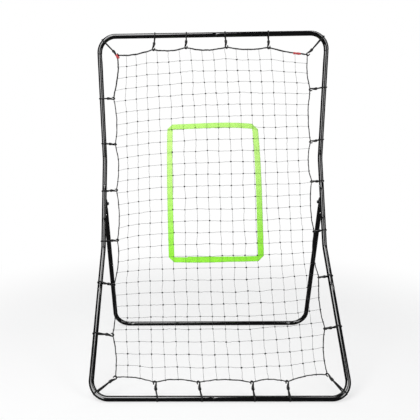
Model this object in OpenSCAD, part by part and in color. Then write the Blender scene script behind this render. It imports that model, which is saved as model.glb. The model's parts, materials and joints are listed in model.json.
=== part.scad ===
// Pitch back rebounder: a net on a C-shaped tube frame, held up by a hinged U-shaped rear leg.
// The ball comes from -Y, +Z is up, and the origin is on the floor under the middle of the part.

/* [Tube] */
// Outside diameter of every frame tube
tube_d = 22; // [20:0.5:26]
// Wall thickness of the tubes
tube_wall = 1.2; // [1:0.1:1.6]

/* [Frame] */
// Overall width across the side tubes
frame_w = 1050; // [950:10:1150]
// Length of the sloping lower section, floor bar to lower knee
lower_len = 675; // [600:5:750]
// Length of the middle section, knee to knee
middle_len = 420; // [380:5:460]
// Length of the upper section, upper knee to top bar
upper_len = 565; // [500:5:620]
// Angle of the lower section to the floor
lower_angle = 48.5; // [44:0.5:52]
// Bend at each of the two knees
knee_bend = 23.25; // [18:0.25:26]
// Centreline radius of the knee bends
knee_r = 80; // [60:5:100]
// Centreline radius of the four frame corners
corner_r = 75; // [60:5:90]

/* [Rear leg] */
// Distance of the leg pivot above the lower knee, along the middle section
pivot_rise = 213.5; // [195:0.5:235]
// Distance of the leg pivot behind the axis of the side tube
pivot_back = 27.3; // [26:0.1:30]
// Distance from the floor bar of the frame back to the rear bar
leg_reach = 776; // [700:2:800]
// Length of the upper leg tubes, pivot to seam
leg_seam = 340; // [300:5:400]

/* [Slip joints] */
// Depth that a reduced tube end enters the next tube
slip_depth = 45; // [35:1:60]
// Distance from a seam to its button
button_setback = 15; // [12:1:20]
// Diameter of a snap button
button_d = 5.8; // [5:0.1:6.5]
// Height that a snap button stands proud of the tube
button_proud = 2.2; // [1.5:0.1:3]

/* [Hinge] */
// Diameter of the pivot bolt
bolt_d = 8; // [6:1:8]
// Clear width between the ears of the bracket
ear_gap = 18; // [16:0.5:18]
// Thickness of the bracket plate
ear_t = 2; // [1.5:0.1:2.5]
// Thickness of the moulded hinge plug between the ears
tang_w = 16.4; // [14:0.1:16.4]

/* [Net] */
// Mesh columns drawn across the net
net_columns = 12; // [8:1:12]
// Mesh rows of the net's lower, middle and upper panels
net_rows = [10, 6, 8];
// Tension up the net over tension across it, which sets how deep its belly is
net_pull = 2.5; // [1:0.1:4]
// Width of a net string
string_w = 2.2; // [1.5:0.1:3]
// Diameter of the border cord
border_d = 5; // [4:0.5:6]
// Depth that the border bows in between two hooks
scallop = 11; // [0:1:16]

/* [Strike zone] */
// Outside width of the ribbon rectangle
zone_w = 430; // [380:5:480]
// Outside height of the ribbon rectangle
zone_h = 656; // [600:2:720]
// Height of the rectangle above the bottom border, up the net
zone_rise = 526; // [480:2:560]
// Width of the ribbon
ribbon_w = 25; // [20:1:32]

/* [Elastic loops and hooks] */
// Thickness of the elastic where it lies on a tube
band_t = 1.2; // [1:0.1:1.4]
// Width of the elastic where it lies on a tube
band_w = 5; // [4:0.5:7]
// Diameter of a free strand of elastic
strand_d = 2.6; // [2:0.1:3]
// Diameter of the bead that closes a loop
bead_d = 10; // [8:0.5:12]
// Diameter of the moulded wire of a hook
hook_wire = 3.6; // [3:0.2:4]
// Inside radius of the crook of a hook
hook_crook = 5; // [5:0.25:6]
// Turn of a hook about its pull, from flat in the net towards square across the border
hook_twist = 90; // [80:5:90]

/* [Hidden] */
$fn = 48;

tube_r = tube_d / 2;
bore_r = tube_r - tube_wall;
slip_gap = 0.05;
swage_r = bore_r - slip_gap;
swage_bore_r = swage_r - tube_wall;
half_w = frame_w / 2 - tube_r;
bar_z = tube_r + band_t;
cut = 1;

// Side profile: the angle and length of each section, and where each one starts
LENGTHS = [lower_len, middle_len, upper_len];
ANGLES = [lower_angle, lower_angle + knee_bend, lower_angle + 2 * knee_bend];
y_front = -(tube_r + band_t);
y_mid = (y_front + leg_reach + tube_r) / 2;
function ahead(k, s) = [0, s * cos(ANGLES[k]), s * sin(ANGLES[k])];
function start(k) = k == 0 ? [0, -y_mid, bar_z] : start(k - 1) + ahead(k - 1, LENGTHS[k - 1]);
function section_y(k) = [0, sin(ANGLES[k]), -cos(ANGLES[k])];
knee_cut = knee_r * tan(knee_bend / 2);

// Leg: the pivot, the direction down to the rear bar, and its angle to the middle section
pivot = start(1) + ahead(1, pivot_rise) + pivot_back * section_y(1);
rear_axis = [0, leg_reach - y_mid, tube_r];
leg_span = norm(rear_axis - pivot);
leg_lean = atan2(rear_axis[1] - pivot[1], pivot[2] - rear_axis[2]);
leg_open = leg_lean + 90 - ANGLES[1];

// Seams: the bars from the middle, the side tubes along their section, the leg from its pivot
top_seam_x = 15;
bottom_seam_x = -25;
top_corner_seam = 488;
sleeve_top_seam = 299;
sleeve_bottom_seam = 140;
lower_seam = 482;
rear_seam_x = 430;

// Hinge parts
collar_start = 24;
collar_t = 3;
plug_depth = 30;
heel_gap = 0.15;
pin_gap = 0.05;
washer_t = 0.6;
bracket_half_h = 18;
boss_r = 10;

// Net in the flat: x across, s along the profile from the floor bar
KNEE_S = [0, lower_len, lower_len + middle_len];
TOP_HOOKS = [[-260, -268, 1601], [-118, -120, 1607], [56, 64, 1606], [250, 255, 1601]];
LEFT_HOOKS = [[1385, -460, 1386], [1176, -461, 1172], [944, -457, 949], [705, -449, 710],
    [498, -452, 487], [264, -442, 258]];
RIGHT_HOOKS = [[1423, 452, 1413], [1184, 466, 1172], [983, 469, 981], [750, 469, 743],
    [524, 465, 517], [291, 455, 281]];
BOTTOM_HOOKS = [[-246, -258, 62], [-70, -83, 62], [137, 131, 62], [275, 271, 64]];
TOP_CORNER_HOOKS = [[-433, 1577], [432, 1569]];
BOTTOM_CORNER_HOOKS = [[-418, 82], [435, 92]];
net_low = 62;
net_w = 917;
net_h = 1543;
belly_waves = 10;
ribbon_t = 1.2;
scallop_steps = 6;

// Loops: the gap round the tube, and the bead's distance back from the border
band_gap = 0.2;
bead_back = 30;

// ---------------------------------------------------------------- placing

// Puts children on section k at distance s, with Z along the section and Y out of its back
module on_section(k, s = 0) {
    translate(start(k) + ahead(k, s))
        rotate([ANGLES[k] - 90, 0, 0])
            children();
}

// Puts children on the axis of the right side tube
module on_side(k, s) {
    on_section(k, s)
        translate([half_w, 0, 0])
            children();
}

// Puts children on a bar along X, with Z along +X
module on_bar(k, s, x) {
    on_section(k, s)
        translate([x, 0, 0])
            rotate([0, 90, 0])
                children();
}

// Puts children on the right leg tube at distance s below the pivot, with Z down the leg
module on_leg(s) {
    translate(pivot + [half_w, 0, 0])
        rotate([180 + leg_lean, 0, 0])
            translate([0, 0, s])
                children();
}

// Puts children on the rear bar at x, with Z along +X
module on_rear_bar(x) {
    translate(rear_axis + [x, 0, 0])
        rotate([0, 90, 0])
            children();
}

// Draws the right-hand child, or its mirror image for side = -1
module handed(side) {
    mirror([side < 0 ? 1 : 0, 0, 0])
        children();
}

// ---------------------------------------------------------------- tubes

// A rod along a path of steps: [length] goes straight, [radius, angle, roll] bends towards +X
// after a roll about the path
module rod_path(steps, r, i = 0) {
    if (i < len(steps)) {
        step = steps[i];
        if (len(step) == 1) {
            cylinder(h = step[0], r = r);
            translate([0, 0, step[0]])
                rod_path(steps, r, i + 1);
        } else {
            rotate([0, 0, step[2]]) {
                translate([step[0], 0, 0])
                    rotate([90, 0, 180])
                        rotate_extrude(angle = step[1])
                            translate([step[0], 0])
                                circle(r);
                translate([step[0], 0, 0])
                    rotate([0, step[1], 0])
                        translate([-step[0], 0, 0])
                            rod_path(steps, r, i + 1);
            }
        }
    }
}

// The same path as a hollow tube, open at both ends
module tube_path(steps) {
    difference() {
        rod_path(steps, tube_r);
        rod_path(steps, bore_r);
    }
}

// A reduced tube end along +Z, with a ring inside the full tube that carries it
module swaged_end() {
    root = 5;
    difference() {
        union() {
            translate([0, 0, -root])
                cylinder(h = root + slip_depth, r = swage_r);
            translate([0, 0, -root])
                cylinder(h = root, r = bore_r + tube_wall / 2);
        }
        translate([0, 0, -root - cut])
            cylinder(h = root + slip_depth + 2 * cut, r = swage_bore_r);
    }
}

// A hole for a snap button, from the tube's axis out along +X
module button_hole() {
    rotate([0, 90, 0])
        cylinder(h = tube_r + cut, r = button_d / 2 + 0.25);
}

// Half of the top bar, a corner and the swaged end that enters the upper side tube
module top_corner_tube(seam_x) {
    run = half_w - corner_r - seam_x;
    drop = upper_len - corner_r - top_corner_seam;
    on_bar(2, upper_len, seam_x)
        tube_path([[run], [corner_r, 90, 0], [drop]]);
}

module top_corner_left() {
    color("#17181a")
        difference() {
            union() {
                handed(-1)
                    top_corner_tube(-top_seam_x);
                handed(-1)
                    on_side(2, top_corner_seam)
                        rotate([180, 0, 0])
                            swaged_end();
            }
            at_top_bar_button()
                button_hole();
            handed(-1)
                at_top_corner_button()
                    button_hole();
        }
}

module top_corner_right() {
    color("#17181a")
        difference() {
            union() {
                top_corner_tube(top_seam_x);
                on_side(2, top_corner_seam)
                    rotate([180, 0, 0])
                        swaged_end();
                on_bar(2, upper_len, top_seam_x)
                    rotate([180, 0, 0])
                        swaged_end();
            }
            at_top_bar_button()
                button_hole();
            at_top_corner_button()
                button_hole();
        }
}

// Side tube with the upper knee, swaged at the bottom where it enters the hinge sleeve
module upper_side_tube() {
    low = middle_len - knee_cut - sleeve_top_seam;
    color("#1a1b1d")
        difference() {
            union() {
                on_side(1, sleeve_top_seam)
                    tube_path([[low], [knee_r, knee_bend, 270], [top_corner_seam - knee_cut]]);
                on_side(1, sleeve_top_seam)
                    rotate([180, 0, 0])
                        swaged_end();
            }
            at_top_corner_button()
                button_hole();
            at_sleeve_top_button()
                button_hole();
        }
}

module upper_side_left() { handed(-1) upper_side_tube(); }
module upper_side_right() { upper_side_tube(); }

// Short straight sleeve that takes the tube ends above and below and carries the leg bracket
module hinge_sleeve() {
    color("#202124")
        difference() {
            on_side(1, sleeve_bottom_seam)
                tube_path([[sleeve_top_seam - sleeve_bottom_seam]]);
            at_sleeve_top_button()
                button_hole();
            at_sleeve_bottom_button()
                button_hole();
        }
}

module hinge_sleeve_left() { handed(-1) hinge_sleeve(); }
module hinge_sleeve_right() { hinge_sleeve(); }

// Side tube with the lower knee, swaged at both ends
module knee_tube() {
    color("#1a1b1d")
        difference() {
            union() {
                on_side(0, lower_seam)
                    tube_path([[lower_len - knee_cut - lower_seam], [knee_r, knee_bend, 270],
                        [sleeve_bottom_seam - knee_cut]]);
                on_side(0, lower_seam)
                    rotate([180, 0, 0])
                        swaged_end();
                on_side(1, sleeve_bottom_seam)
                    swaged_end();
            }
            at_lower_side_button()
                button_hole();
            at_sleeve_bottom_button()
                button_hole();
        }
}

module knee_tube_left() { handed(-1) knee_tube(); }
module knee_tube_right() { knee_tube(); }

// Half of the floor bar, a corner and the lower part of the side
module bottom_corner_tube(seam_x) {
    run = half_w - corner_r - seam_x;
    on_bar(0, 0, seam_x)
        tube_path([[run], [corner_r, 90, 180], [lower_seam - corner_r]]);
}

module bottom_corner_left() {
    color("#17181a")
        difference() {
            handed(-1)
                bottom_corner_tube(-bottom_seam_x);
            at_bottom_bar_button()
                button_hole();
            handed(-1)
                at_lower_side_button()
                    button_hole();
        }
}

module bottom_corner_right() {
    color("#17181a")
        difference() {
            union() {
                bottom_corner_tube(bottom_seam_x);
                on_bar(0, 0, bottom_seam_x)
                    rotate([180, 0, 0])
                        swaged_end();
            }
            at_bottom_bar_button()
                button_hole();
            at_lower_side_button()
                button_hole();
        }
}

// Upper leg tube, from the hinge plug's collar down to its swaged end
module leg_upper() {
    first = collar_start + collar_t;
    color("#1a1b1d")
        difference() {
            union() {
                on_leg(first)
                    tube_path([[leg_seam - first]]);
                on_leg(leg_seam)
                    swaged_end();
            }
            at_leg_button()
                button_hole();
        }
}

module leg_upper_left() { handed(-1) leg_upper(); }
module leg_upper_right() { leg_upper(); }

// Lower leg tube with its corner, swaged where it enters the rear bar. The leg's plane leans, so
// the corner is drawn in that plane, and Z of on_leg points down
module leg_corner() {
    color("#17181a")
        difference() {
            union() {
                on_leg(leg_seam)
                    tube_path([[leg_span - corner_r - leg_seam], [corner_r, 90, 180],
                        [half_w - corner_r - rear_seam_x]]);
                on_rear_bar(rear_seam_x)
                    rotate([180, 0, 0])
                        swaged_end();
            }
            at_leg_button()
                button_hole();
            at_rear_bar_button()
                button_hole();
        }
}

module leg_corner_left() { handed(-1) leg_corner(); }
module leg_corner_right() { leg_corner(); }

module rear_bar() {
    color("#1d1e20")
        difference() {
            on_rear_bar(-rear_seam_x)
                tube_path([[2 * rear_seam_x]]);
            for (side = [-1, 1])
                handed(side)
                    at_rear_bar_button()
                        button_hole();
        }
}

// ---------------------------------------------------------------- leg hinge

// Side view of one ear of the bracket: Y away from the tube, X along it
module ear_profile() {
    translate([0, pivot_back])
        circle(boss_r);
    polygon([[-bracket_half_h, 8], [bracket_half_h, 8], [bracket_half_h, tube_r + ear_t],
        [boss_r * 0.8, pivot_back + boss_r * 0.6], [-boss_r * 0.8, pivot_back + boss_r * 0.6],
        [-bracket_half_h, tube_r + ear_t]]);
}

// Folded bracket on the back of the sleeve: a web across the tube and two ears for the bolt
module hinge_bracket() {
    outer = ear_gap + 2 * ear_t;
    color("#222326")
        on_side(1, pivot_rise)
            difference() {
                union() {
                    for (side = [-1, 1])
                        translate([side * (ear_gap + ear_t) / 2, 0, 0])
                            rotate([90, 0, 90])
                                rotate([0, 0, 90])
                                    mirror([0, 1, 0])
                                        translate([0, 0, -ear_t / 2])
                                            linear_extrude(ear_t)
                                                ear_profile();
                    translate([-outer / 2, 6, -bracket_half_h])
                        cube([outer, tube_r + ear_t - 6, 2 * bracket_half_h]);
                }
                translate([0, 0, -bracket_half_h - cut])
                    cylinder(h = 2 * (bracket_half_h + cut), r = tube_r + 0.02);
                translate([-outer, pivot_back, 0])
                    rotate([0, 90, 0])
                        cylinder(h = 2 * outer, r = bolt_d / 2 + pin_gap);
            }
}

module hinge_bracket_left() { handed(-1) hinge_bracket(); }
module hinge_bracket_right() { hinge_bracket(); }

// Side view of the plug's tang, Y back and Z up from the pivot: the boss, the arm down the leg and
// the heel that rests on the bracket's web and stops the leg from opening further
module tang_profile() {
    heel = pivot_back - tube_r - ear_t - heel_gap;
    difference() {
        union() {
            circle(boss_r);
            rotate(leg_lean)
                translate([-boss_r + 0.5, -collar_start - 1])
                    square([2 * boss_r - 1, collar_start + 1]);
            rotate(ANGLES[1] - 90)
                translate([-heel, 0])
                    square([heel, boss_r - 1.5]);
        }
        circle(bolt_d / 2 + pin_gap);
    }
}

// Moulded plug: a tang between the ears, a collar and a spigot in the leg tube
module hinge_plug() {
    color("#2a2b2e") {
        translate(pivot + [half_w - tang_w / 2, 0, 0])
            rotate([90, 0, 90])
                linear_extrude(tang_w)
                    tang_profile();
        on_leg(collar_start)
            cylinder(h = collar_t, r = tube_r - 0.2);
        on_leg(collar_start + collar_t - 1)
            cylinder(h = plug_depth + 1, r = bore_r - slip_gap);
    }
}

module hinge_plug_left() { handed(-1) hinge_plug(); }
module hinge_plug_right() { hinge_plug(); }

// Pivot bolts with low domed heads on the outside
module pivot_bolts() {
    reach = ear_gap / 2 + ear_t;
    head_r = 7.5;
    head_h = 3.4;
    shank = 2 * reach + 7;
    color("#9a9ca0")
        for (side = [-1, 1])
            handed(side)
                translate(pivot + [half_w + reach, 0, 0])
                    rotate([0, -90, 0]) {
                        cylinder(h = shank, r = bolt_d / 2);
                        rotate([180, 0, 0])
                            cylinder(h = head_h, r1 = head_r, r2 = head_r * 0.7);
                    }
}

// Hexagon lock nuts on the inside ends of the bolts
module lock_nuts() {
    reach = ear_gap / 2 + ear_t;
    nut_h = 6;
    color("#8d8f93")
        for (side = [-1, 1])
            handed(side)
                translate(pivot + [half_w - reach, 0, 0])
                    rotate([0, -90, 0])
                        difference() {
                            cylinder(h = nut_h, r = 7.4, $fn = 6);
                            translate([0, 0, -cut])
                                cylinder(h = nut_h + 2 * cut, r = bolt_d / 2 + 0.02);
                        }
}

// Thin washers between the ears and the hinge plugs
module pivot_washers() {
    gap = (ear_gap - tang_w) / 2;
    color("#d8d6cf")
        for (side = [-1, 1])
            handed(side)
                for (face = [-1, 1])
                    translate(pivot + [half_w + face * (tang_w + gap) / 2 - washer_t / 2, 0, 0])
                        rotate([0, 90, 0])
                            difference() {
                                cylinder(h = washer_t, r = 8.5);
                                translate([0, 0, -cut])
                                    cylinder(h = washer_t + 2 * cut, r = bolt_d / 2 + pin_gap);
                            }
}

// ---------------------------------------------------------------- snap buttons

// Each place turns Z along the tube, away from the open seam, and X out through the button
module at_top_bar_button() {
    on_bar(2, upper_len, top_seam_x - button_setback)
        rotate([0, 0, 90])
            children();
}

module at_top_corner_button() {
    on_side(2, top_corner_seam - button_setback)
        rotate([0, 0, 90])
            children();
}

module at_sleeve_top_button() {
    on_side(1, sleeve_top_seam - button_setback)
        rotate([0, 0, 200])
            children();
}

module at_sleeve_bottom_button() {
    on_side(1, sleeve_bottom_seam + button_setback)
        rotate([0, 0, 160])
            children();
}

module at_lower_side_button() {
    on_side(0, lower_seam - button_setback)
        rotate([0, 0, -45])
            children();
}

module at_bottom_bar_button() {
    on_bar(0, 0, bottom_seam_x - button_setback)
        rotate([0, 0, 135])
            children();
}

module at_leg_button() {
    on_leg(leg_seam + button_setback)
        rotate([0, 0, 160])
            children();
}

module at_rear_bar_button() {
    on_rear_bar(rear_seam_x - button_setback)
        rotate([0, 0, 200])
            children();
}

// A button along +X: domed stem through both walls, flange under the inner wall
module snap_button() {
    stem_r = button_d / 2;
    top = tube_r + button_proud;
    seat = 7.1;
    color("#b9bbbf")
        rotate([0, 90, 0])
            rotate_extrude()
                polygon([[0, seat - 1], [4.2, seat - 1], [4.2, seat], [stem_r, seat],
                    [stem_r, top - 1.2], [stem_r - 0.5, top - 0.4], [stem_r - 1.4, top],
                    [0, top]]);
}

module top_bar_button() { at_top_bar_button() snap_button(); }
module top_corner_button_left() { handed(-1) at_top_corner_button() snap_button(); }
module top_corner_button_right() { at_top_corner_button() snap_button(); }
module sleeve_top_button_left() { handed(-1) at_sleeve_top_button() snap_button(); }
module sleeve_top_button_right() { at_sleeve_top_button() snap_button(); }
module sleeve_bottom_button_left() { handed(-1) at_sleeve_bottom_button() snap_button(); }
module sleeve_bottom_button_right() { at_sleeve_bottom_button() snap_button(); }
module lower_side_button_left() { handed(-1) at_lower_side_button() snap_button(); }
module lower_side_button_right() { at_lower_side_button() snap_button(); }
module bottom_bar_button() { at_bottom_bar_button() snap_button(); }
module leg_button_left() { handed(-1) at_leg_button() snap_button(); }
module leg_button_right() { at_leg_button() snap_button(); }
module rear_bar_button_left() { handed(-1) at_rear_bar_button() snap_button(); }
module rear_bar_button_right() { at_rear_bar_button() snap_button(); }

// A V-shaped leaf spring: one arm under the button, the other on the far wall. reach is the way
// that it runs along Z from the button, away from the mouth of the reduced end
module v_spring(reach) {
    tip = 6.05;
    foot = -7.2;
    t = 0.6;
    color("#a7a9ad")
        translate([0, 2.5, 0])
            rotate([90, 0, 0])
                linear_extrude(5)
                    polygon([[foot, -3 * reach], [foot, 29 * reach], [foot + 2 * t, 29.5 * reach],
                        [tip, 3 * reach], [tip, -3 * reach], [tip - t, -3 * reach],
                        [tip - t, 2.8 * reach], [foot + t, 26.5 * reach],
                        [foot + t, -3 * reach]]);
}

module frame_button_springs() {
    at_top_bar_button()
        v_spring(-1);
    at_bottom_bar_button()
        v_spring(-1);
    for (side = [-1, 1])
        handed(side) {
            at_top_corner_button()
                v_spring(-1);
            at_sleeve_top_button()
                v_spring(1);
            at_sleeve_bottom_button()
                v_spring(-1);
            at_lower_side_button()
                v_spring(1);
        }
}

module leg_button_springs() {
    for (side = [-1, 1])
        handed(side) {
            at_leg_button()
                v_spring(-1);
            at_rear_bar_button()
                v_spring(1);
        }
}

// ---------------------------------------------------------------- net

function section_of(s) = s < KNEE_S[1] ? 0 : s < KNEE_S[2] ? 1 : 2;

// The point of the folded net for a point [x, s] of the flat net
function folded(p) = let (k = section_of(p[1])) start(k) + ahead(k, p[1] - KNEE_S[k]) + [p[0], 0, 0];

// Hook points round the border in order: bottom, right, top, left
BORDER_HOOKS = concat([BOTTOM_CORNER_HOOKS[0]], [for (h = BOTTOM_HOOKS) [h[1], h[2]]],
    [BOTTOM_CORNER_HOOKS[1]], [for (i = [5:-1:0]) [RIGHT_HOOKS[i][1], RIGHT_HOOKS[i][2]]],
    [TOP_CORNER_HOOKS[1]], [for (i = [3:-1:0]) [TOP_HOOKS[i][1], TOP_HOOKS[i][2]]],
    [TOP_CORNER_HOOKS[0]], [for (h = LEFT_HOOKS) [h[1], h[2]]]);

// The border between hooks a and b, bowed to the left of its way round
function bow(a, b) = let (way = (b - a) / norm(b - a))
    [for (i = [0:scallop_steps - 1]) let (t = i / scallop_steps)
        a + t * (b - a) + 4 * t * (1 - t) * scallop * [-way[1], way[0]]];
BORDER = [for (i = [0:len(BORDER_HOOKS) - 1])
    each bow(BORDER_HOOKS[i], BORDER_HOOKS[(i + 1) % len(BORDER_HOOKS)])];

// The four edges of the flat border, as tables of one coordinate against the other
function edge(from, to, axis) = [for (i = [from * scallop_steps:to * scallop_steps])
    let (p = BORDER[i % len(BORDER)]) [p[axis], p[1 - axis]]];
BOTTOM_EDGE = edge(0, 5, 0);
RIGHT_EDGE = edge(5, 12, 1);
TOP_EDGE = edge(12, 17, 0);
LEFT_EDGE = edge(17, 24, 1);

// The point of the flat net at u across and v up it, both 0 to 1, blended from its four edges
function mix(a, b, t) = a + t * (b - a);
function flat(u, v) =
    let (bl = BOTTOM_CORNER_HOOKS[0], br = BOTTOM_CORNER_HOOKS[1],
        tl = TOP_CORNER_HOOKS[0], tr = TOP_CORNER_HOOKS[1],
        low = mix(bl[0], br[0], u), high = mix(tl[0], tr[0], u),
        left = mix(bl[1], tl[1], v), right = mix(br[1], tr[1], v))
    mix([low, lookup(low, BOTTOM_EDGE)], [high, lookup(high, TOP_EDGE)], v)
    + mix([lookup(left, LEFT_EDGE), left], [lookup(right, RIGHT_EDGE), right], u)
    - mix(mix(bl, br, u), mix(tl, tr, u), v);

// How far the tension pulls the net forward of the folded profile: a membrane held at its edges,
// as a sum of waves up the net that fade across it
function cosh(x) = (exp(x) + exp(-x)) / 2;
function total(list, i = 0) = i < len(list) ? list[i] + total(list, i + 1) : [0, 0, 0];
function belly(u, v) = total([for (n = [1:belly_waves])
    let (fade = sqrt(net_pull) * n * PI * net_w / net_h / 2)
    sin(180 * n * v) * (1 - cosh(fade * (2 * u - 1)) / cosh(fade)) * 2 * net_h / (n * PI) ^ 2
        * total([for (k = [1, 2])
            sin(180 * n * (KNEE_S[k] - net_low) / net_h) * (ahead(k, 1) - ahead(k - 1, 1))])]);
function net_point(u, v) = folded(flat(u, v)) + belly(u, v);

// Directions in the net at a point: [across, up, out of its back]
function net_axes(u, v) =
    let (e = 0.01,
        across = net_point(min(u + e, 1), v) - net_point(max(u - e, 0), v),
        up = net_point(u, min(v + e, 1)) - net_point(u, max(v - e, 0)),
        out = cross(up, across))
    [across / norm(across), up / norm(up), out / norm(out)];

// The block of string round one knot: corner 0 is left, low and back, + 1 right, + 2 up, + 4 front
function knot(u, v) = let (p = net_point(u, v), axes = net_axes(u, v))
    [for (c = [0:7]) p + string_w / 2 * (((c % 2) * 2 - 1) * axes[0]
        + ((floor(c / 2) % 2) * 2 - 1) * axes[1] - (floor(c / 4) * 2 - 1) * axes[2])];
function quad(a, b, c, d) = [[a, b, c], [a, c, d]];

// A panel of the net as one lattice: rows is the list of v of its knots. Strings run across at
// every row but the last, and but the first where that one is on the border
module net_panel(rows) {
    n = net_columns + 1;
    last = len(rows) - 1;
    first = rows[0] > 0 ? 0 : 1;
    points = [for (v = rows) for (i = [0:net_columns]) each knot(i / net_columns, v)];
    faces = [for (j = [0:last]) for (i = [0:net_columns])
        let (a = 8 * (j * n + i), b = a + 8, c = a + 8 * n,
            crossed = j >= first && j < last,
            inner = i > 0 && i < net_columns)
        if (crossed || inner)
            each concat(quad(a + 4, a + 6, a + 7, a + 5), quad(a, a + 1, a + 3, a + 2),
                crossed && i < net_columns
                    ? concat(quad(a + 5, a + 7, b + 6, b + 4), quad(a + 1, b, b + 2, a + 3),
                        quad(a + 3, b + 2, b + 6, a + 7), quad(a + 1, a + 5, b + 4, b))
                    : quad(a + 1, a + 5, a + 7, a + 3),
                crossed && i > 0 ? [] : quad(a, a + 2, a + 6, a + 4),
                inner && j < last
                    ? concat(quad(a + 6, c + 4, c + 5, a + 7), quad(a + 2, a + 3, c + 1, c),
                        quad(a + 3, a + 7, c + 5, c + 1), quad(a + 2, c, c + 4, a + 6))
                    : quad(a + 2, a + 3, a + 7, a + 6),
                inner && j > 0 ? [] : quad(a, a + 4, a + 5, a + 1))];
    color("#2b2c2e")
        polyhedron(points = points, faces = faces);
}

// Rows from one panel's first string up to just under the next panel's
function panel_rows(from, to) = let (all = net_rows[0] + net_rows[1] + net_rows[2])
    [for (j = [from:to]) j / all - (j == to && to < all ? (string_w + 1) / net_h : 0)];

module net_lower() { net_panel(panel_rows(0, net_rows[0])); }
module net_middle() { net_panel(panel_rows(net_rows[0], net_rows[0] + net_rows[1])); }
module net_upper() {
    from = net_rows[0] + net_rows[1];
    net_panel(panel_rows(from, from + net_rows[2]));
}

// Border cord: an eight-sided tube swept along the folded border as one closed loop
module border_cord() {
    n = len(BORDER);
    sides = 8;
    path = [for (p = BORDER) folded(p)];
    rings = [for (i = [0:n - 1])
        let (way = path[(i + 1) % n] - path[(i + n - 1) % n],
            along = way / norm(way),
            face = section_y(section_of(BORDER[i][1])),
            out = cross(along, face))
        for (j = [0:sides - 1])
            let (a = 360 * j / sides)
            path[i] + border_d / 2 * (cos(a) * out / norm(out) + sin(a) * face)];
    color("#161718")
        polyhedron(points = rings, faces = [for (i = [0:n - 1])
            for (j = [0:sides - 1])
                let (a = i * sides + j,
                    b = i * sides + (j + 1) % sides,
                    c = ((i + 1) % n) * sides + (j + 1) % sides,
                    d = ((i + 1) % n) * sides + j)
                each [[a, b, c], [a, c, d]]]);
}

// A rectangle set in by a margin, with its corners cut, anticlockwise from its lower left
function cut_rectangle(w, h, inset, c) = [[inset + c, inset], [w - inset - c, inset],
    [w - inset, inset + c], [w - inset, h - inset - c], [w - inset - c, h - inset],
    [inset + c, h - inset], [inset, h - inset - c], [inset, inset + c]];

// Points of the ribbon's loop along its outer or inner edge: long sides in steps, corners in one
function zone_loop(inset, c) = let (p = cut_rectangle(zone_w, zone_h, inset, c))
    [for (k = [0:7]) let (steps = k % 2 == 1 ? 1 : k % 4 == 0 ? 8 : 12)
        for (i = [0:steps - 1]) mix(p[k], p[(k + 1) % 8], i / steps)];

// Strike zone: one flat ribbon round a rectangle, lying on the front of the net
module strike_zone_ribbon() {
    outer = zone_loop(0, ribbon_w * 0.6);
    inner = zone_loop(ribbon_w, 2);
    n = len(outer);
    lift = string_w / 2 + 1.4;
    points = [for (i = [0:n - 1]) for (j = [0:3])
        let (p = j < 2 ? outer[i] : inner[i],
            u = 0.5 + (p[0] - zone_w / 2) / net_w,
            v = (p[1] + zone_rise) / net_h)
        net_point(u, v) - (j % 3 == 0 ? lift : lift + ribbon_t) * net_axes(u, v)[2]];
    color("#9bef2c")
        polyhedron(points = points, faces = [for (i = [0:n - 1]) for (j = [0:3])
            each quad(4 * i + j, 4 * i + (j + 1) % 4, 4 * ((i + 1) % n) + (j + 1) % 4,
                4 * ((i + 1) % n) + j)]);
}

// Small red marker tags wrapped over the top border
module red_tags() {
    color("#d8262c")
        on_section(2)
            rotate([90, 0, 0])
                translate([0, 0, 3.2]) {
                    translate([-438, 456])
                        linear_extrude(1)
                            square([9, 14]);
                    translate([367, 471])
                        linear_extrude(1)
                            square([32, 8]);
                }
}

// ---------------------------------------------------------------- elastic loops and hooks

// How far from the tube's axis a loop's bead sits: clear of the tube on the short loops
function bead_at(reach) = max(reach - bead_back, tube_r + bead_d / 2 + 1.5);

// Frame of one loop: origin on the tube's axis, X towards the hook, Y out of the net's back.
// squint is the angle of the tube's own normal from X
module elastic_loop(reach, squint) {
    bead_x = bead_at(reach);
    union() {
        rotate([0, squint, 0])
            rotate_extrude()
                translate([tube_r + band_gap, -band_w / 2])
                    square([band_t - band_gap, band_w]);
        for (side = [-1, 1]) {
            to = [bead_x, 1.5];
            off = tube_r / cos(squint) + strand_d / 2 + 0.25;
            a = atan2(to[1], to[0]) + acos(off / norm(to));
            from = off * [cos(a), sin(a)];
            translate([from[0], side * from[1], 0])
                rotate([0, 0, side * (a - 90)])
                    rotate([0, 90, 0])
                        cylinder(h = norm(to - from), r = strand_d / 2, $fn = 24);
        }
        translate([bead_x, 0, 0])
            sphere(r = bead_d / 2, $fn = 32);
    }
}

// Open hook of moulded wire: a leaning shank from the bead and a crook that the border cord runs
// through, with the cord's middle a little way past the crook's middle
module border_hook(reach, seat) {
    crook_r = hook_crook + hook_wire / 2;
    first = bead_at(reach) + bead_d / 2 + 0.35;
    centre = reach - seat;
    lean = asin(crook_r / (centre - first));
    rotate([hook_twist, 0, 0]) {
        translate([first, 0, 0])
            rotate([0, 90 + lean, 0])
                cylinder(h = (centre - first) * cos(lean) + 0.8, r = hook_wire / 2 - 0.2, $fn = 24);
        translate([centre, 0, 0])
            rotate([90, 0, 0])
                rotate([0, 0, -90 - lean])
                    rotate_extrude(angle = 200 + lean, $fn = 32)
                        translate([crook_r, 0])
                            circle(hook_wire / 2, $fn = 24);
    }
}

// Puts children in the frame of one loop on section k: origin at the tube's point [x, s], X
// towards the hook's point [x, s], Y out of the back of the net
module along_pull(k, tube, hook) {
    way = hook - tube;
    on_section(k)
        translate([tube[0], 0, tube[1]])
            rotate([0, -atan2(way[1], way[0]), 0])
                children();
}

function turn(a) = a > 180 ? a - 360 : a < -180 ? a + 360 : a;
function pull(tube, hook) = atan2(hook[1] - tube[1], hook[0] - tube[0]);

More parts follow.
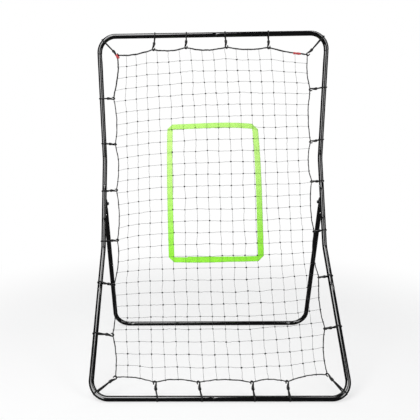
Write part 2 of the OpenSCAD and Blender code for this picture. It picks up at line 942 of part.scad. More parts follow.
// Each place is [section, tube point, hook point, direction from the tube straight to the net]
function side_place(h, side) = let (k = section_of(h[0]))
    [k, [side * half_w, h[0] - KNEE_S[k]], [h[1], h[2] - KNEE_S[k]], side > 0 ? 180 : 0];
function corner_tube(side, up) = let (c = corner_r * (1 - sqrt(0.5)))
    [side * (half_w - c), up ? upper_len - c : c];
TOP_PLACES = concat([for (h = TOP_HOOKS)
        [2, [h[0], upper_len], [h[1], h[2] - KNEE_S[2]], -90]],
    [[2, corner_tube(-1, true), TOP_CORNER_HOOKS[0] - [0, KNEE_S[2]], -45],
    [2, corner_tube(1, true), TOP_CORNER_HOOKS[1] - [0, KNEE_S[2]], -135]]);
BOTTOM_PLACES = concat([for (h = BOTTOM_HOOKS)
        [0, [h[0], 0], [h[1], h[2]], 90]],
    [[0, corner_tube(-1, false), BOTTOM_CORNER_HOOKS[0], 45],
    [0, corner_tube(1, false), BOTTOM_CORNER_HOOKS[1], 135]]);
LEFT_PLACES = [for (h = LEFT_HOOKS) side_place(h, -1)];
RIGHT_PLACES = [for (h = RIGHT_HOOKS) side_place(h, 1)];

module loops(places) {
    color("#151617")
        for (p = places)
            along_pull(p[0], p[1], p[2])
                elastic_loop(norm(p[2] - p[1]), -turn(p[3] - pull(p[1], p[2])));
}

module hooks(places) {
    color("#101112")
        for (p = places)
            along_pull(p[0], p[1], p[2])
                border_hook(norm(p[2] - p[1]), p[3] % 90 == 0 ? 1.6 : -0.6);
}

module top_elastic_loops() { loops(TOP_PLACES); }
module left_elastic_loops() { loops(LEFT_PLACES); }
module right_elastic_loops() { loops(RIGHT_PLACES); }
module bottom_elastic_loops() { loops(BOTTOM_PLACES); }
module top_hooks() { hooks(TOP_PLACES); }
module left_hooks() { hooks(LEFT_PLACES); }
module right_hooks() { hooks(RIGHT_PLACES); }
module bottom_hooks() { hooks(BOTTOM_PLACES); }

// ---------------------------------------------------------------- drawing

top_corner_left();
top_corner_right();
upper_side_left();
upper_side_right();
hinge_sleeve_left();
hinge_sleeve_right();
knee_tube_left();
knee_tube_right();
bottom_corner_left();
bottom_corner_right();
leg_upper_left();
leg_upper_right();
leg_corner_left();
leg_corner_right();
rear_bar();
hinge_bracket_left();
hinge_bracket_right();
hinge_plug_left();
hinge_plug_right();
pivot_bolts();
lock_nuts();
pivot_washers();
top_bar_button();
top_corner_button_left();
top_corner_button_right();
sleeve_top_button_left();
sleeve_top_button_right();
sleeve_bottom_button_left();
sleeve_bottom_button_right();
lower_side_button_left();
lower_side_button_right();
bottom_bar_button();
leg_button_left();
leg_button_right();
rear_bar_button_left();
rear_bar_button_right();
frame_button_springs();
leg_button_springs();
net_lower();
net_middle();
net_upper();
border_cord();
strike_zone_ribbon();
top_elastic_loops();
left_elastic_loops();
right_elastic_loops();
bottom_elastic_loops();
top_hooks();
left_hooks();
right_hooks();
bottom_hooks();
red_tags();
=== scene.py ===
"""Pitch back rebounder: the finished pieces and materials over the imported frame.

The frame is a C-shaped front of glossy tube, a folding rear leg, and a knotted net hung in it on
elastic loops. Everything is in metres, with +Z up and the ball coming from -Y.
"""
import json
import logging
import math
from dataclasses import dataclass, field
from enum import Enum

import bmesh
import bpy
import numpy as np
from bpy.types import ID, Material, Mesh, Node, NodeSocket, NodeTree, Object
from mathutils import Matrix, Vector

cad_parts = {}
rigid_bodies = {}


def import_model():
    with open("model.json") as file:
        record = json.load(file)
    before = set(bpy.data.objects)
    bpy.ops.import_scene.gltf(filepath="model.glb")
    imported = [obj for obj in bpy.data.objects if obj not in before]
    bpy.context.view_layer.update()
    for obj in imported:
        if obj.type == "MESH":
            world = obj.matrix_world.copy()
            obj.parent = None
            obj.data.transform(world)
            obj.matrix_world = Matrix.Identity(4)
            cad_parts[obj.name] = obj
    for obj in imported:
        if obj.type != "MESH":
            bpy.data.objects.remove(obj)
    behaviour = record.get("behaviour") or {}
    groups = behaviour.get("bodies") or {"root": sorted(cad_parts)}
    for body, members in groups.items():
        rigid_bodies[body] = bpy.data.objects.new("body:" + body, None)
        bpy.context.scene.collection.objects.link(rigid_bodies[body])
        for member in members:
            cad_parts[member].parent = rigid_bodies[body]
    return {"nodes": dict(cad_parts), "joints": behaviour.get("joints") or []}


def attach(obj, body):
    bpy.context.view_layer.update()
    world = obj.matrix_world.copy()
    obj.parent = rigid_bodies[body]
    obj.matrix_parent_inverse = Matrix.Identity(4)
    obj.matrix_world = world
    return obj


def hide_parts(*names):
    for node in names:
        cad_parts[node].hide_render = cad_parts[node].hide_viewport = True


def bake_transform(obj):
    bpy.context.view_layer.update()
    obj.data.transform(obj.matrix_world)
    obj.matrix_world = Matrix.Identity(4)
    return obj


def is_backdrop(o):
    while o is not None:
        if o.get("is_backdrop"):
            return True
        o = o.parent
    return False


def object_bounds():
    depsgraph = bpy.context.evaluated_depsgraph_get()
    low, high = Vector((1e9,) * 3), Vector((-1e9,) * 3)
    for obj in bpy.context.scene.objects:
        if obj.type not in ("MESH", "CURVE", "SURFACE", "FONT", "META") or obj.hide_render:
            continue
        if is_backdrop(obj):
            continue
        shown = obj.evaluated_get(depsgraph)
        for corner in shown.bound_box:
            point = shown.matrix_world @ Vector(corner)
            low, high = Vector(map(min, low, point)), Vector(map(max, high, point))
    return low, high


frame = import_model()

log = logging.getLogger("rebounder")
MM = 0.001
WELD = 1e-6
CAD_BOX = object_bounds()
SEED = 7
Pair = tuple[float, float]
Triple = tuple[float, float, float]


class Slot(Enum):
    """Material slots of the record."""
    TUBE = "black_powder_coat"
    BRACKET = "hinge_steel"
    NYLON = "black_nylon"
    BOLT = "zinc_bolts"
    WASHER = "washer_nylon"
    SPRING = "spring_steel"
    BUTTON = "button_steel"
    TWINE = "net_twine"
    ROPE = "border_cord"
    RIBBON = "green_ribbon"
    ELASTIC = "black_elastic"
    HOOK = "hook_plastic"
    TAG = "red_tag"


# ------------------------------------------------------------------ layout


@dataclass(frozen=True)
class Layout:
    """Driving sizes of the folded tube frame, and the places that follow from them."""
    tube_r: float = 0.011
    wall: float = 0.0012
    half_w: float = 0.514
    lengths: Triple = (0.675, 0.420, 0.565)
    angles: Triple = (48.5, 71.75, 95.0)
    bar_z: float = 0.0122
    y_front: float = -0.3874
    knee_r: float = 0.080
    corner_r: float = 0.075
    pivot_rise: float = 0.2135
    pivot_back: float = 0.0273
    rear_y: float = 0.3886
    rear_z: float = 0.011

    def ahead(self, k: int) -> np.ndarray:
        """Return the unit direction up section k."""
        a = math.radians(self.angles[k])
        return np.array([0.0, math.cos(a), math.sin(a)])

    def back(self, k: int) -> np.ndarray:
        """Return the unit direction out of the back of section k."""
        a = math.radians(self.angles[k])
        return np.array([0.0, math.sin(a), -math.cos(a)])

    def start(self, k: int) -> np.ndarray:
        """Return the point on the middle plane where section k starts."""
        if k == 0:
            return np.array([0.0, self.y_front, self.bar_z])
        return self.start(k - 1) + self.lengths[k - 1] * self.ahead(k - 1)

    def on(self, k: int, s: float, x: float = 0.0) -> np.ndarray:
        """Return the point at distance s up section k and x across."""
        return self.start(k) + s * self.ahead(k) + np.array([x, 0.0, 0.0])

    @property
    def pivot(self) -> np.ndarray:
        """Return the middle of the leg's pivot axis."""
        return self.on(1, self.pivot_rise) + self.pivot_back * self.back(1)

    @property
    def rear(self) -> np.ndarray:
        """Return the middle of the rear bar's axis."""
        return np.array([0.0, self.rear_y, self.rear_z])

    @property
    def leg_way(self) -> np.ndarray:
        """Return the unit direction down the leg."""
        return unit(self.rear - self.pivot)


LAYOUT = Layout()


# ------------------------------------------------------------------ mesh helpers


def placed(name: str, data: ID) -> Object:
    """Make an object of a mesh, a lamp or a camera, and link it to the scene."""
    item = bpy.data.objects.new(name, data)
    bpy.context.scene.collection.objects.link(item)
    return item


def from_build(name: str, build: bmesh.types.BMesh) -> Object:
    """Turn a finished bmesh into an object, and free it."""
    mesh = bpy.data.meshes.new(name)
    build.to_mesh(mesh)
    build.free()
    return placed(name, mesh)


def evaluated_mesh(item: Object) -> Mesh:
    """Return an object's mesh with its modifiers applied."""
    bpy.context.view_layer.update()
    held = item.evaluated_get(bpy.context.evaluated_depsgraph_get())
    return bpy.data.meshes.new_from_object(held)


def smooth_all(mesh: Mesh) -> None:
    """Shade every face of a mesh smooth."""
    mesh.polygons.foreach_set("use_smooth", [True] * len(mesh.polygons))


def unit(way: np.ndarray) -> np.ndarray:
    """Return a direction at length 1, or each row's."""
    return way / np.linalg.norm(way, axis=-1, keepdims=True)


def new_piece(name: str, verts: np.ndarray, faces: list, uvs: list | None = None) -> Object:
    """Make a smooth mesh object at the origin.

    Args:
        name: Name of the object and its mesh.
        verts: Points in metres, one row each.
        faces: Vertex indices of each face.
        uvs: Texture coordinates of each face's corners in order, or None.

    Returns:
        The linked object.
    """
    mesh = bpy.data.meshes.new(name)
    mesh.from_pydata([tuple(map(float, v)) for v in verts], [], faces)
    if uvs is not None:
        layer = mesh.uv_layers.new(name="Lay")
        layer.data.foreach_set("uv", np.asarray(uvs, dtype=np.float32).ravel())
    smooth_all(mesh)
    mesh.update()
    return placed(name, mesh)


def dress(piece: Object, material: Material) -> None:
    """Give a piece its one material."""
    piece.data.materials.clear()
    piece.data.materials.append(material)


def finish_piece(piece: Object, body: str, slot: Slot, *nodes: str,
                 material: Material | None = None) -> None:
    """Dress a piece, put it on its body and let it stand for its CAD nodes.

    Args:
        piece: The finished piece.
        body: The CAD body that it moves with.
        slot: The record's slot whose material it gets.
        nodes: The CAD nodes that it stands for, if any.
        material: Another material to use in place of the slot's own.
    """
    dress(piece, material or MATERIALS[slot])
    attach(piece, body)
    if nodes:
        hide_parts(*nodes)
    log.info("piece %s on %s: %d faces", piece.name, body, len(piece.data.polygons))


def joined(name: str, parts: list[Object]) -> Object:
    """Join mesh objects, with their UV maps, into one new object and remove the parts.

    Args:
        name: Name of the new object.
        parts: Objects to join.

    Returns:
        The new object.
    """
    build = bmesh.new()
    build.loops.layers.uv.new("Lay")
    for part in parts:
        build.from_mesh(part.data)
        bpy.data.objects.remove(part)
    return from_build(name, build)


def rounded_path(corners: list[np.ndarray], radii: list[float], step: float = 3.0) -> np.ndarray:
    """Lay a path along corners, with each inner corner replaced by an arc.

    Args:
        corners: Points of the sharp path.
        radii: Arc radius at each inner corner.
        step: Largest turn in degrees between two points of an arc.

    Returns:
        Points of the path, one row each.
    """
    points = [corners[0]]
    for i, radius in enumerate(radii, start=1):
        come, go = unit(corners[i] - corners[i - 1]), unit(corners[i + 1] - corners[i])
        turn = math.acos(float(np.clip(come @ go, -1, 1)))
        cut = radius * math.tan(turn / 2)
        start = corners[i] - cut * come
        side = unit(go - (go @ come) * come)
        steps = max(2, math.ceil(math.degrees(turn) / step))
        for k in range(steps + 1):
            a = turn * k / steps
            points.append(start + radius * (math.sin(a) * come + (1 - math.cos(a)) * side))
    points.append(corners[-1])
    return np.array(points)


class Route:
    """A path that can be asked for its point and cross directions at any distance."""

    def __init__(self, points: np.ndarray, across: np.ndarray) -> None:
        """Keep the path, and one direction across it to start its cross frame from.

        Args:
            points: Points of the path, in order.
            across: A direction across its start.
        """
        self.points = np.asarray(points, dtype=float)
        steps = np.linalg.norm(np.diff(self.points, axis=0), axis=1)
        self.dist = np.concatenate([[0.0], np.cumsum(steps)])
        self.length = float(self.dist[-1])
        ways = np.gradient(self.points, self.dist, axis=0)
        ways[0] = self.points[1] - self.points[0]
        ways[-1] = self.points[-1] - self.points[-2]
        self.ways = unit(ways)
        sides = [unit(across - (across @ self.ways[0]) * self.ways[0])]
        for way in self.ways[1:]:
            sides.append(unit(sides[-1] - (sides[-1] @ way) * way))
        self.sides = np.array(sides)

    def at(self, s: float) -> tuple[np.ndarray, np.ndarray, np.ndarray]:
        """Return the point, the side direction and the third direction at distance s.

        Before the start and past the end the path goes on straight.

        Args:
            s: Distance from the start, in metres.

        Returns:
            The point, the side and the third direction.
        """
        inside = min(max(s, 0.0), self.length)
        pick = [np.array([np.interp(inside, self.dist, col) for col in table.T])
                for table in (self.points, self.ways, self.sides)]
        way = unit(pick[1])
        side = unit(pick[2] - (pick[2] @ way) * way)
        return pick[0] + (s - inside) * way, side, np.cross(way, side)


def turned_along(name: str, route: Route, profile: list[Pair], sides: int = 48,
                 closed: bool = True) -> Object:
    """Sweep a turned profile along a route, as a lathe would if its axis were bent.

    Args:
        name: Name of the object.
        route: The bent axis.
        profile: Pairs of distance along the route and radius, a loop round the wall's section.
            Where closed is False it runs from pole to pole instead, with radius 0 at both ends.
        sides: Points round the axis.
        closed: Whether the profile is a loop.

    Returns:
        The closed mesh object.
    """
    turn = np.arange(sides) * 2 * math.pi / sides
    verts, index = [], []
    for s, r in profile:
        point, side, third = route.at(s)
        index.append(len(verts))
        if r == 0 and not closed:
            verts.append(point)
            continue
        verts.extend(point + r * (math.cos(a) * side + math.sin(a) * third) for a in turn)
    faces, uvs = [], []
    pairs = list(zip(range(len(profile)), range(1, len(profile))))
    if closed:
        pairs.append((len(profile) - 1, 0))
    run = np.concatenate([[0.0], np.cumsum([math.dist(profile[a], profile[b]) for a, b in pairs])])
    for row, (a, b) in enumerate(pairs):
        low, high = index[a], index[b]
        single_a = profile[a][1] == 0 and not closed
        single_b = profile[b][1] == 0 and not closed
        for j in range(sides):
            k = (j + 1) % sides
            u0, u1 = j / sides, (j + 1) / sides
            ring = [(low, u0, run[row])] if single_a else [(low + j, u0, run[row]), (low + k, u1, run[row])]
            ring += [(high, u0, run[row + 1])] if single_b else [
                (high + k, u1, run[row + 1]), (high + j, u0, run[row + 1])]
            faces.append([c[0] for c in ring])
            uvs.extend((c[1], c[2]) for c in ring)
    piece = new_piece(name, np.array(verts), faces, uvs)
    outward(piece)
    return piece


def outward(piece: Object) -> None:
    """Turn all faces of a closed mesh outwards.

    Args:
        piece: Object with a closed mesh.
    """
    build = bmesh.new()
    build.from_mesh(piece.data)
    bmesh.ops.recalc_face_normals(build, faces=build.faces)
    build.to_mesh(piece.data)
    build.free()


def slab(name: str, points: np.ndarray, lay: np.ndarray) -> Object:
    """Make a closed thin sheet from the grids of its front and its back.

    Args:
        name: Name of the object.
        points: Points, as layer (0 the front, 1 the back), row, column and x, y, z.
        lay: Texture coordinates of the same points.

    Returns:
        The closed mesh object.
    """
    _, rows, cols, _ = points.shape
    faces, uvs = [], []

    def put(*ring: tuple[int, int, int]) -> None:
        """Add one face from its corners' layer, row and column."""
        faces.append([(layer * rows + i) * cols + j for layer, i, j in ring])
        uvs.extend(lay[corner] for corner in ring)

    for i in range(rows - 1):
        for j in range(cols - 1):
            put((0, i, j), (0, i + 1, j), (0, i + 1, j + 1), (0, i, j + 1))
            put((1, i, j), (1, i, j + 1), (1, i + 1, j + 1), (1, i + 1, j))
        for j in (0, cols - 1):
            put((0, i, j), (1, i, j), (1, i + 1, j), (0, i + 1, j))
    for j in range(cols - 1):
        for i in (0, rows - 1):
            put((0, i, j), (0, i, j + 1), (1, i, j + 1), (1, i, j))
    piece = new_piece(name, points.reshape(-1, 3), faces, uvs)
    outward(piece)
    return piece


def loose_parts(name: str, mesh: Mesh) -> list[Object]:
    """Return each unconnected part of a CAD node's mesh as its own object, with doubles merged.

    Args:
        name: Name that the new objects start with.
        mesh: Mesh of the CAD node.

    Returns:
        The new objects.
    """
    whole = bmesh.new()
    whole.from_mesh(mesh)
    bmesh.ops.remove_doubles(whole, verts=whole.verts, dist=WELD)
    whole.verts.index_update()
    home: dict[int, int] = {}
    for first in whole.verts:
        queue = [] if first.index in home else [first]
        while queue:
            vert = queue.pop()
            home[vert.index] = first.index
            queue += [edge.other_vert(vert) for edge in vert.link_edges
                      if edge.other_vert(vert).index not in home]
    parts = []
    for count, root in enumerate(sorted(set(home.values()))):
        build = whole.copy()
        others = [vert for vert in build.verts if home[vert.index] != root]
        bmesh.ops.delete(build, geom=others, context="VERTS")
        parts.append(from_build(f"{name}_{count}", build))
    whole.free()
    return parts


def swept(name: str, points: np.ndarray, wide: np.ndarray, thick: np.ndarray, axis: np.ndarray,
          sides: int = 12) -> Object:
    """Sweep an ellipse of changing size along a path, with round ends.

    Args:
        name: Name of the object.
        points: Path, one row per station.
        wide: Half width of the section at each station, measured along axis.
        thick: Half thickness of the section at each station.
        axis: Direction of the width, one row per station or one for all.
        sides: Points round the section.

    Returns:
        The closed mesh object, with UV u round it and v along it in metres.
    """
    points = np.asarray(points, dtype=float)
    count = len(points)
    axis = np.broadcast_to(axis, points.shape)
    dist = np.concatenate([[0], np.cumsum(np.linalg.norm(np.diff(points, axis=0), axis=1))])
    ways = unit(np.gradient(points, dist, axis=0))
    flat = unit(axis - (axis * ways).sum(axis=1)[:, None] * ways)
    third = np.cross(ways, flat)
    turn = np.arange(sides) * 2 * math.pi / sides
    caps = [(-0.95, 0.32), (-0.7, 0.72)]
    verts, levels = [], []

    def ring(i: int, shift: float, scale: float) -> None:
        """Add one ring of points at a station, moved along the path and scaled."""
        centre = points[i] + ways[i] * shift * min(wide[i], thick[i])
        levels.append(dist[i])
        verts.extend(centre + scale * (wide[i] * math.cos(a) * flat[i]
                                       + thick[i] * math.sin(a) * third[i]) for a in turn)

    for shift, scale in caps:
        ring(0, shift, scale)
    for i in range(count):
        ring(i, 0.0, 1.0)
    for shift, scale in reversed(caps):
        ring(count - 1, -shift, scale)
    rows = len(levels)
    first = len(verts)
    verts.append(points[0] - ways[0] * min(wide[0], thick[0]))
    verts.append(points[-1] + ways[-1] * min(wide[-1], thick[-1]))
    faces, uvs = [], []
    for r in range(rows - 1):
        for j in range(sides):
            k = (j + 1) % sides
            faces.append([r * sides + j, r * sides + k, (r + 1) * sides + k, (r + 1) * sides + j])
            uvs.extend([(j / sides, levels[r]), ((j + 1) / sides, levels[r]),
                        ((j + 1) / sides, levels[r + 1]), (j / sides, levels[r + 1])])
    for j in range(sides):
        k = (j + 1) % sides
        faces.append([first, k, j])
        uvs.extend([(0.5, 0.0), ((j + 1) / sides, 0.0), (j / sides, 0.0)])
        top = (rows - 1) * sides
        faces.append([first + 1, top + j, top + k])
        uvs.extend([(0.5, levels[-1]), (j / sides, levels[-1]), ((j + 1) / sides, levels[-1])])
    piece = new_piece(name, np.array(verts), faces, uvs)
    outward(piece)
    return piece


def smooth_curve(points: list[np.ndarray], per_span: int = 6) -> np.ndarray:
    """Return a Catmull-Rom curve through the points.

    Args:
        points: Points that it runs through.
        per_span: Steps from each point to the next.

    Returns:
        Its points.
    """
    p = np.vstack([2 * np.asarray(points[0]) - points[1], points, 2 * np.asarray(points[-1]) - points[-2]])
    out = []
    for i in range(1, len(p) - 2):
        for t in np.arange(per_span) / per_span:
            out.append(0.5 * (2 * p[i] + (p[i + 1] - p[i - 1]) * t
                              + (2 * p[i - 1] - 5 * p[i] + 4 * p[i + 1] - p[i + 2]) * t ** 2
                              + (3 * p[i] - p[i - 1] - 3 * p[i + 1] + p[i + 2]) * t ** 3))
    out.append(p[-2])
    return np.array(out)


# ------------------------------------------------------------------ shader groups


class Tree:
    """Short hand for building a node tree."""

    def __init__(self, tree: NodeTree) -> None:
        """Keep the tree that nodes are added to."""
        self.tree = tree

    def given(self, key: str) -> NodeSocket:
        """Return the socket that carries a group's named input."""
        return self.source.outputs[key]

    def open(self) -> None:
        """Add the group's input and output nodes."""
        self.source = self.tree.nodes.new("NodeGroupInput")
        self.sink = self.tree.nodes.new("NodeGroupOutput")

    def noise(self, place: object, scale: object, detail: float, roughness: float = 0.5) -> NodeSocket:
        """Add a noise texture and return its value."""
        return self.add("ShaderNodeTexNoise", {"Vector": place, "Scale": scale, "Detail": detail,
                                               "Roughness": roughness}).outputs["Fac"]

    def object_place(self) -> NodeSocket:
        """Return the Object coordinates."""
        return self.add("ShaderNodeTexCoord").outputs["Object"]

    def add(self, kind: str, inputs: dict | None = None, **settings: object) -> Node:
        """Add a node, set its properties, and set or link its inputs.

        Args:
            kind: Identifier of the node's type.
            inputs: Values or sockets by input name or index.
            settings: Properties of the node.

        Returns:
            The node.
        """
        node = self.tree.nodes.new(kind)
        for key, value in settings.items():
            setattr(node, key, value)
        self.fill(node, inputs or {})
        return node

    def fill(self, node: Node, inputs: dict) -> None:
        """Set or link a node's inputs, by name or index.

        Args:
            node: Node to fill.
            inputs: Value or socket of each input.
        """
        for key, value in inputs.items():
            socket = node.inputs[key]
            if isinstance(value, NodeSocket):
                self.tree.links.new(value, socket)
            else:
                socket.default_value = value

    def math(self, operation: str, a: object, b: object = 0.0) -> NodeSocket:
        """Add a Math node and return its output."""
        return self.add("ShaderNodeMath", {0: a, 1: b}, operation=operation).outputs[0]

    def times(self, a: object, b: object) -> NodeSocket:
        """Multiply two values."""
        return self.math("MULTIPLY", a, b)

    def plus(self, a: object, b: object) -> NodeSocket:
        """Add two values."""
        return self.math("ADD", a, b)

    def mix(self, factor: object, a: object, b: object) -> NodeSocket:
        """Mix two colours and return the result."""
        return self.add("ShaderNodeMix", {0: factor, 6: a, 7: b}, data_type="RGBA").outputs[2]

    def link(self, source: NodeSocket, target: NodeSocket) -> None:
        """Join two sockets."""
        self.tree.links.new(source, target)


def shader_group(name: str, inputs: dict[str, float], outputs: dict[str, str]) -> Tree:
    """Start a shader group.

    Args:
        name: Name of the group.
        inputs: Default value of each float input. A Vector input is always there as well.
        outputs: Socket type of each output.

    Returns:
        The group's builder.
    """
    tree = bpy.data.node_groups.new(name, "ShaderNodeTree")
    tree.interface.new_socket("Vector", in_out="INPUT", socket_type="NodeSocketVector")
    for key, value in inputs.items():
        socket = tree.interface.new_socket(key, in_out="INPUT", socket_type="NodeSocketFloat")
        socket.default_value = value
    for key, kind in outputs.items():
        tree.interface.new_socket(key, in_out="OUTPUT", socket_type=kind)
    t = Tree(tree)
    t.open()
    return t


def orange_peel() -> NodeTree:
    """Build the faint ripple that sprayed or moulded surfaces have, as a normal and a mask.

    Returns:
        The node group.
    """
    t = shader_group("orange_peel", {"Size": 0.004, "Strength": 0.1, "Fine": 0.3},
                     {"Normal": "NodeSocketVector", "Cloud": "NodeSocketFloat"})
    place = t.given("Vector")
    scale = t.math("DIVIDE", 1.0, t.given("Size"))
    fine = t.times(t.noise(place, t.times(scale, 5.0), 2.0), t.given("Fine"))
    bump = t.add("ShaderNodeBump", {"Height": t.plus(t.noise(place, scale, 1.5), fine),
                                    "Strength": t.given("Strength"), "Distance": 0.0002})
    t.fill(t.sink, {"Normal": bump.outputs["Normal"], "Cloud": t.noise(place, 9.0, 4.0)})
    return t.tree


def handling_wear() -> NodeTree:
    """Build a mask of small rubs and specks, and one of settled dust on faces that look up.

    Returns:
        The node group.
    """
    t = shader_group("handling_wear", {"Amount": 0.5, "Size": 0.01},
                     {"Rub": "NodeSocketFloat", "Dust": "NodeSocketFloat"})
    place, amount = t.given("Vector"), t.given("Amount")
    patch = t.noise(place, t.math("DIVIDE", 1.0, t.given("Size")), 5.0, 0.7)
    edge = t.math("SUBTRACT", 0.9, t.times(amount, 0.4))
    rub = t.add("ShaderNodeMapRange", {"Value": patch, "From Min": edge, "From Max": t.plus(edge, 0.08)})
    up = t.add("ShaderNodeSeparateXYZ", {0: t.add("ShaderNodeNewGeometry").outputs["Normal"]})
    fall = t.add("ShaderNodeMapRange", {"Value": up.outputs["Z"], "From Min": 0.35, "From Max": 1.0})
    dust = t.times(fall.outputs[0], t.times(t.noise(place, 160.0, 3.0), amount))
    t.fill(t.sink, {"Rub": rub.outputs[0], "Dust": dust})
    return t.tree


def plain_weave() -> NodeTree:
    """Build crossing threads from the UV map: a height, and a mask for painted shade that is dark between
    threads.

    Returns:
        The node group.
    """
    t = shader_group("plain_weave", {"Across": 24.0, "Along": 900.0, "Slant": 0.0},
                     {"Height": "NodeSocketFloat", "Shade": "NodeSocketFloat"})
    part = t.add("ShaderNodeSeparateXYZ", {0: t.given("Vector")})
    across = t.times(part.outputs["X"], t.given("Across"))
    along = t.times(part.outputs["Y"], t.given("Along"))
    first = t.plus(across, t.times(along, t.given("Slant")))
    second = t.plus(along, t.times(across, t.given("Slant")))
    weft, warp = (t.math("ABSOLUTE", t.math("SINE", t.times(thread, math.pi))) for thread in (first, second))
    both = t.times(t.plus(first, second), math.pi)
    over = t.math("GREATER_THAN", t.math("SINE", both), 0.0)
    height = t.add("ShaderNodeMix", {0: over, 2: weft, 3: warp}, data_type="FLOAT").outputs[0]
    # Shade is the mask for painted shade: dark where the threads sink between each other.
    t.fill(t.sink, {"Height": height, "Shade": t.math("POWER", height, 0.6)})
    return t.tree


PEEL = orange_peel()
WEAR = handling_wear()
WEAVE = plain_weave()


# ------------------------------------------------------------------ finishes

DUST_COLOUR = (0.42, 0.40, 0.37, 1.0)
DUST_SHARE = 0.06
CLOUD_SPREAD = 0.10
RUB_ROUGHNESS = 0.25
LEAST_ROUGHNESS = 0.04
FUZZ_SCALE = 1400.0
FUZZ_SHARE = 0.35
MOTTLE_SCALE = 22.0


@dataclass(frozen=True)
class Finish:
    """A plain finish that the others build on: colour, gloss and a rippled surface."""
    name: str
    colour: Triple
    roughness: float = 0.5
    metallic: float = 0.0
    coat: float = 0.0
    coat_roughness: float = 0.03
    sheen: float = 0.0
    sheen_roughness: float = 0.4
    ripple: float = 0.1
    ripple_size: float = 0.004
    wear: float = 0.3
    worn: Triple = (0.25, 0.25, 0.25)
    ior: float = 1.5

    def base(self) -> tuple[Material, Tree, Node]:
        """Start the material with its constants set on the shader's own sockets.

        Returns:
            The material, its builder and its Principled node.
        """
        material = bpy.data.materials.new(self.name)
        material.use_nodes = True
        material.diffuse_color = (*self.colour, 1.0)
        t = Tree(material.node_tree)
        shader = material.node_tree.nodes["Principled BSDF"]
        t.fill(shader, {"Base Color": (*self.colour, 1.0), "Roughness": self.roughness,
                        "Metallic": self.metallic, "Coat Weight": self.coat,
                        "Coat Roughness": self.coat_roughness, "Sheen Weight": self.sheen,
                        "Sheen Roughness": self.sheen_roughness, "IOR": self.ior})
        return material, t, shader

    def make(self) -> Material:
        """Return the material: ripple, cloudy gloss, rubbed specks and dust.

        Returns:
            The material.
        """
        material, t, shader = self.base()
        place = t.object_place()
        peel = t.add("ShaderNodeGroup", node_tree=PEEL)
        t.fill(peel, {"Vector": place, "Size": self.ripple_size, "Strength": self.ripple})
        wear = t.add("ShaderNodeGroup", node_tree=WEAR)
        t.fill(wear, {"Vector": place, "Amount": self.wear})
        colour = t.mix(wear.outputs["Rub"], (*self.colour, 1.0), (*self.worn, 1.0))
        dusty = t.mix(t.times(wear.outputs["Dust"], DUST_SHARE), colour, DUST_COLOUR)
        spread = t.times(t.math("SUBTRACT", peel.outputs["Cloud"], 0.5), CLOUD_SPREAD)
        rough = t.plus(self.roughness, spread)
        rougher = t.plus(rough, t.times(wear.outputs["Rub"], RUB_ROUGHNESS))
        t.link(dusty, shader.inputs["Base Color"])
        t.link(t.math("MAXIMUM", rougher, LEAST_ROUGHNESS), shader.inputs["Roughness"])
        t.link(peel.outputs["Normal"], shader.inputs["Normal"])
        return material


@dataclass(frozen=True)
class WovenFinish(Finish):
    """A finish of threads laid along the UV map."""
    across: float = 24.0
    along: float = 900.0
    slant: float = 0.0
    depth: float = 0.0002
    # How much the gaps between threads are darkened: painted shade.
    gap: float = 0.45
    mottle: float = 0.25

    def make(self) -> Material:
        """Return the material: threads, painted shade in the gaps between them, mottled dye and a soft
        sheen.

        Returns:
            The material.
        """
        material, t, shader = self.base()
        lay = t.add("ShaderNodeUVMap", uv_map="Lay").outputs["UV"]
        weave = t.add("ShaderNodeGroup", node_tree=WEAVE)
        t.fill(weave, {"Vector": lay, "Across": self.across, "Along": self.along, "Slant": self.slant})
        place = t.object_place()
        fuzz = t.noise(place, FUZZ_SCALE, 2.0)
        # Painted shade: the colour darkened in the low places between threads.
        dark = tuple(c * (1 - self.gap) for c in self.colour)
        light = tuple(min(1.0, c * (1 + self.mottle)) for c in self.colour)
        dyed = t.mix(t.noise(place, MOTTLE_SCALE, 5.0), (*self.colour, 1.0), (*light, 1.0))
        colour = t.mix(weave.outputs["Shade"], (*dark, 1.0), dyed)
        height = t.plus(weave.outputs["Height"], t.times(fuzz, FUZZ_SHARE))
        bump = t.add("ShaderNodeBump", {"Height": height, "Strength": 0.8, "Distance": self.depth})
        t.link(colour, shader.inputs["Base Color"])
        t.link(bump.outputs["Normal"], shader.inputs["Normal"])
        return material


